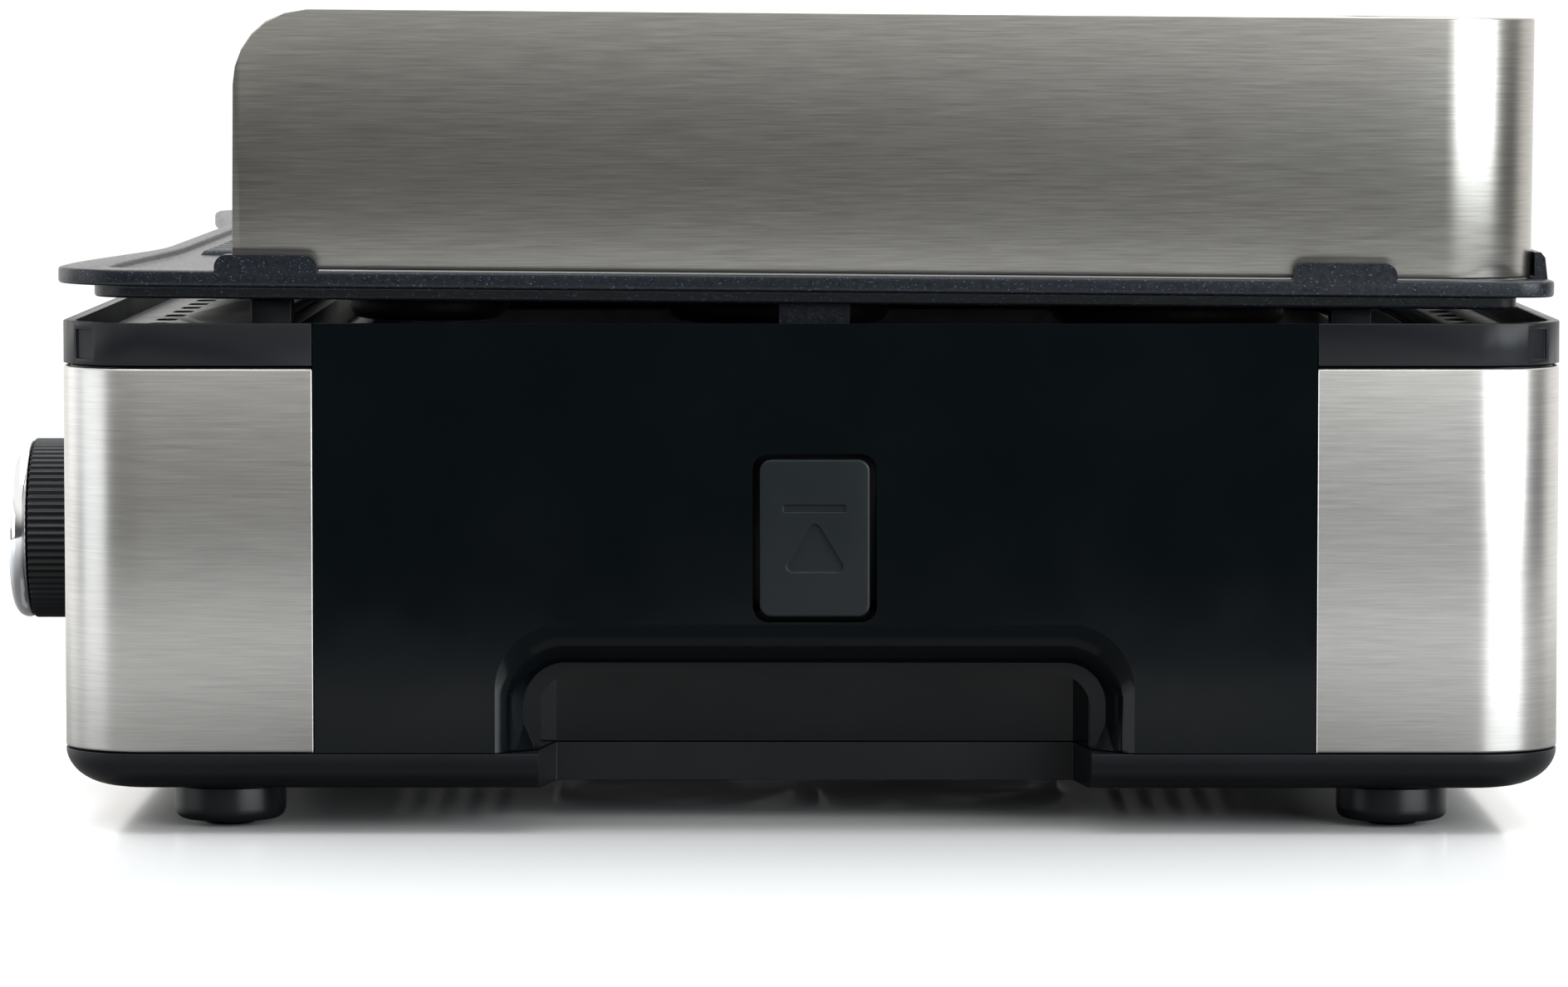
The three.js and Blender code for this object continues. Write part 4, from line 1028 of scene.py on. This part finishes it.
def studio_dome():
    """Soft light from above and from a pale backdrop on the left, with a dim horizon on the right.

    The strength is the greater of two smooth steps, by a direction's height and by its reach to the left.
    """
    world = bpy.data.worlds.new("studio")
    world.use_nodes = True
    bpy.context.scene.world = world
    tree = world.node_tree
    dome, output = tree.nodes["Background"], tree.nodes["World Output"]
    dome.inputs["Color"].default_value = DOME_TINT
    place = tree.nodes.new("ShaderNodeTexCoord")
    height = tree.nodes.new("ShaderNodeSeparateXYZ")
    tree.links.new(place.outputs["Object"], height.inputs["Vector"])
    steps = []
    for axis, start, end, low, high in (("Z", 0.0, 0.5, 0.09, 1.15), ("X", -0.1, -0.55, 0.0, 1.25)):
        step = tree.nodes.new("ShaderNodeMapRange")
        step.interpolation_type = "SMOOTHSTEP"
        for socket, number in (("From Min", start), ("From Max", end), ("To Min", low), ("To Max", high)):
            step.inputs[socket].default_value = number
        tree.links.new(height.outputs[axis], step.inputs["Value"])
        steps.append(step.outputs["Result"])
    greater = tree.nodes.new("ShaderNodeMath")
    greater.operation = "MAXIMUM"
    tree.links.new(steps[0], greater.inputs[0])
    tree.links.new(steps[1], greater.inputs[1])
    tree.links.new(greater.outputs["Value"], dome.inputs["Strength"])
    white = tree.nodes.new("ShaderNodeBackground")
    white.inputs["Color"].default_value = (1, 1, 1, 1)
    white.inputs["Strength"].default_value = 1.05
    path = tree.nodes.new("ShaderNodeLightPath")
    choice = tree.nodes.new("ShaderNodeMixShader")
    tree.links.new(path.outputs["Is Camera Ray"], choice.inputs["Fac"])
    tree.links.new(dome.outputs["Background"], choice.inputs[1])
    tree.links.new(white.outputs["Background"], choice.inputs[2])
    tree.links.new(choice.outputs["Shader"], output.inputs["Surface"])


def floor(colour):
    """A round table top: evenly spaced rings, and a straight edge down to its underside."""
    radius = FLOOR["r"] * np.linspace(0.02, 1, 12)
    angle = np.linspace(0, 2 * np.pi, 96, endpoint=False)
    rings = np.stack([radius[:, None] * np.cos(angle), radius[:, None] * np.sin(angle)], -1)
    top = np.concatenate([rings, np.zeros((*rings.shape[:2], 1))], -1)
    under = top[-1:] - (0, 0, FLOOR["thick"])
    piece = loft("studio_floor", np.concatenate([top, under]))
    piece.data.materials.append(floor_finish("pale_floor", colour))


def set_camera():
    """A long lens level with the guard's top, square to the right-hand side."""
    data = bpy.data.cameras.new("camera")
    data.lens, data.sensor_width = CAMERA["lens"], 36.0
    data.clip_start, data.clip_end = 0.05, 50.0
    camera = bpy.data.objects.new("camera", data)
    bpy.context.scene.collection.objects.link(camera)
    bpy.context.scene.camera = camera
    turn, drop = (math.tan(math.radians(CAMERA[way])) for way in ("turn", "drop"))
    look(camera, CAMERA["place"], (-1, -turn, -drop))


# ---- operators ----
class GRILL_OT_finishes(bpy.types.Operator):
    """Make the finishes that the pieces share"""

    bl_idname = "grill.finishes"
    bl_label = "Finishes"

    def execute(self, context):
        make_finishes(context.scene.grill_colours)
        return {"FINISHED"}


class GRILL_OT_steel(bpy.types.Operator):
    """Bend the steel skins round the front and rear of the base"""

    bl_idname = "grill.steel"
    bl_label = "Steel skins"

    def execute(self, context):
        for tag, side in (("front", -1), ("rear", 1)):
            steel_wrap(tag, side)
        return {"FINISHED"}


class GRILL_OT_panels(bpy.types.Operator):
    """Mould the gloss side panels with their carry grips"""

    bl_idname = "grill.panels"
    bl_label = "Side panels"

    def execute(self, context):
        for tag, side in (("right", 1), ("left", -1)):
            side_panel(tag, side, context.scene.grill_sizes.lip_edge)
        return {"FINISHED"}


class GRILL_OT_buttons(bpy.types.Operator):
    """Mould the release buttons with their engraved mark"""

    bl_idname = "grill.buttons"
    bl_label = "Release buttons"

    def execute(self, context):
        for tag, side in (("right", 1), ("left", -1)):
            release_button(tag, side)
        return {"FINISHED"}


class GRILL_OT_cover(bpy.types.Operator):
    """Mould the bottom cover and turn the feet and their pads"""

    bl_idname = "grill.cover"
    bl_label = "Bottom cover and feet"

    def execute(self, context):
        bottom_cover()
        for tag, sx, sy in (("fr", 1, -1), ("fl", -1, -1), ("rr", 1, 1), ("rl", -1, 1)):
            foot(tag, sx * FOOT["x"], sy * FOOT["y"])
        return {"FINISHED"}


class GRILL_OT_plate(bpy.types.Operator):
    """Cast the grill plate and bend the heating element under it"""

    bl_idname = "grill.plate"
    bl_label = "Plate and element"

    def execute(self, context):
        grill_plate()
        heating_element()
        return {"FINISHED"}


class GRILL_OT_guard(bpy.types.Operator):
    """Bend the splash guard"""

    bl_idname = "grill.guard"
    bl_label = "Splash guard"

    def execute(self, context):
        splash_guard(context.scene.grill_sizes.guard_sheet)
        return {"FINISHED"}


class GRILL_OT_knob(bpy.types.Operator):
    """Turn the knob's ribbed grip and its bright cap"""

    bl_idname = "grill.knob"
    bl_label = "Knob"

    def execute(self, context):
        sizes = context.scene.grill_sizes
        knob_body(sizes.knob_ribs, sizes.knob_rib_depth)
        knob_cap()
        return {"FINISHED"}


class GRILL_OT_rest(bpy.types.Operator):
    """Finish every other piece of the frame: merged facets, rounded edges and its own material"""

    bl_idname = "grill.rest"
    bl_label = "Trims and inner pieces"

    def execute(self, context):
        sizes = context.scene.grill_sizes
        metals = ("zinc", "chrome", "brass", "aluminium")
        for node in sorted(NODES):
            if not NODES[node].hide_render:
                refine(node, sizes.metal_edge if SLOTS[node] in metals else sizes.moulded_edge)
        return {"FINISHED"}


class GRILL_OT_stage(bpy.types.Operator):
    """Set the floor, the soft lights and the camera"""

    bl_idname = "grill.stage"
    bl_label = "Stage"

    def execute(self, context):
        context.scene.view_settings.view_transform = "Standard"
        floor(context.scene.grill_colours.floor)
        studio_dome()
        for name, lamp in LAMPS.items():
            soft_box(name, *lamp)
        set_camera()
        return {"FINISHED"}


STEPS = (
    GRILL_OT_finishes,
    GRILL_OT_steel,
    GRILL_OT_panels,
    GRILL_OT_buttons,
    GRILL_OT_cover,
    GRILL_OT_plate,
    GRILL_OT_guard,
    GRILL_OT_knob,
    GRILL_OT_rest,
    GRILL_OT_stage,
)


class GRILL_PT_panel(bpy.types.Panel):
    """Lists the steps that build the grill"""

    bl_idname = "GRILL_PT_panel"
    bl_label = "Tabletop grill"
    bl_space_type = "VIEW_3D"
    bl_region_type = "UI"
    bl_category = "Grill"

    def draw(self, context):
        for group in (context.scene.grill_sizes, context.scene.grill_colours):
            for name in group.__annotations__:
                self.layout.prop(group, name)
        for step in STEPS:
            self.layout.operator(step.bl_idname)


CLASSES = (GrillSizes, GrillColours, *STEPS, GRILL_PT_panel)


def register():
    for made in CLASSES:
        bpy.utils.register_class(made)
    bpy.types.Scene.grill_sizes = bpy.props.PointerProperty(type=GrillSizes)
    bpy.types.Scene.grill_colours = bpy.props.PointerProperty(type=GrillColours)


def unregister():
    del bpy.types.Scene.grill_colours
    del bpy.types.Scene.grill_sizes
    for made in reversed(CLASSES):
        bpy.utils.unregister_class(made)


def main():
    """Registers the add-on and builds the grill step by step."""
    register()
    for step in STEPS:
        group, name = step.bl_idname.split(".")
        getattr(getattr(bpy.ops, group), name)()


if __name__ == "__main__":
    main()
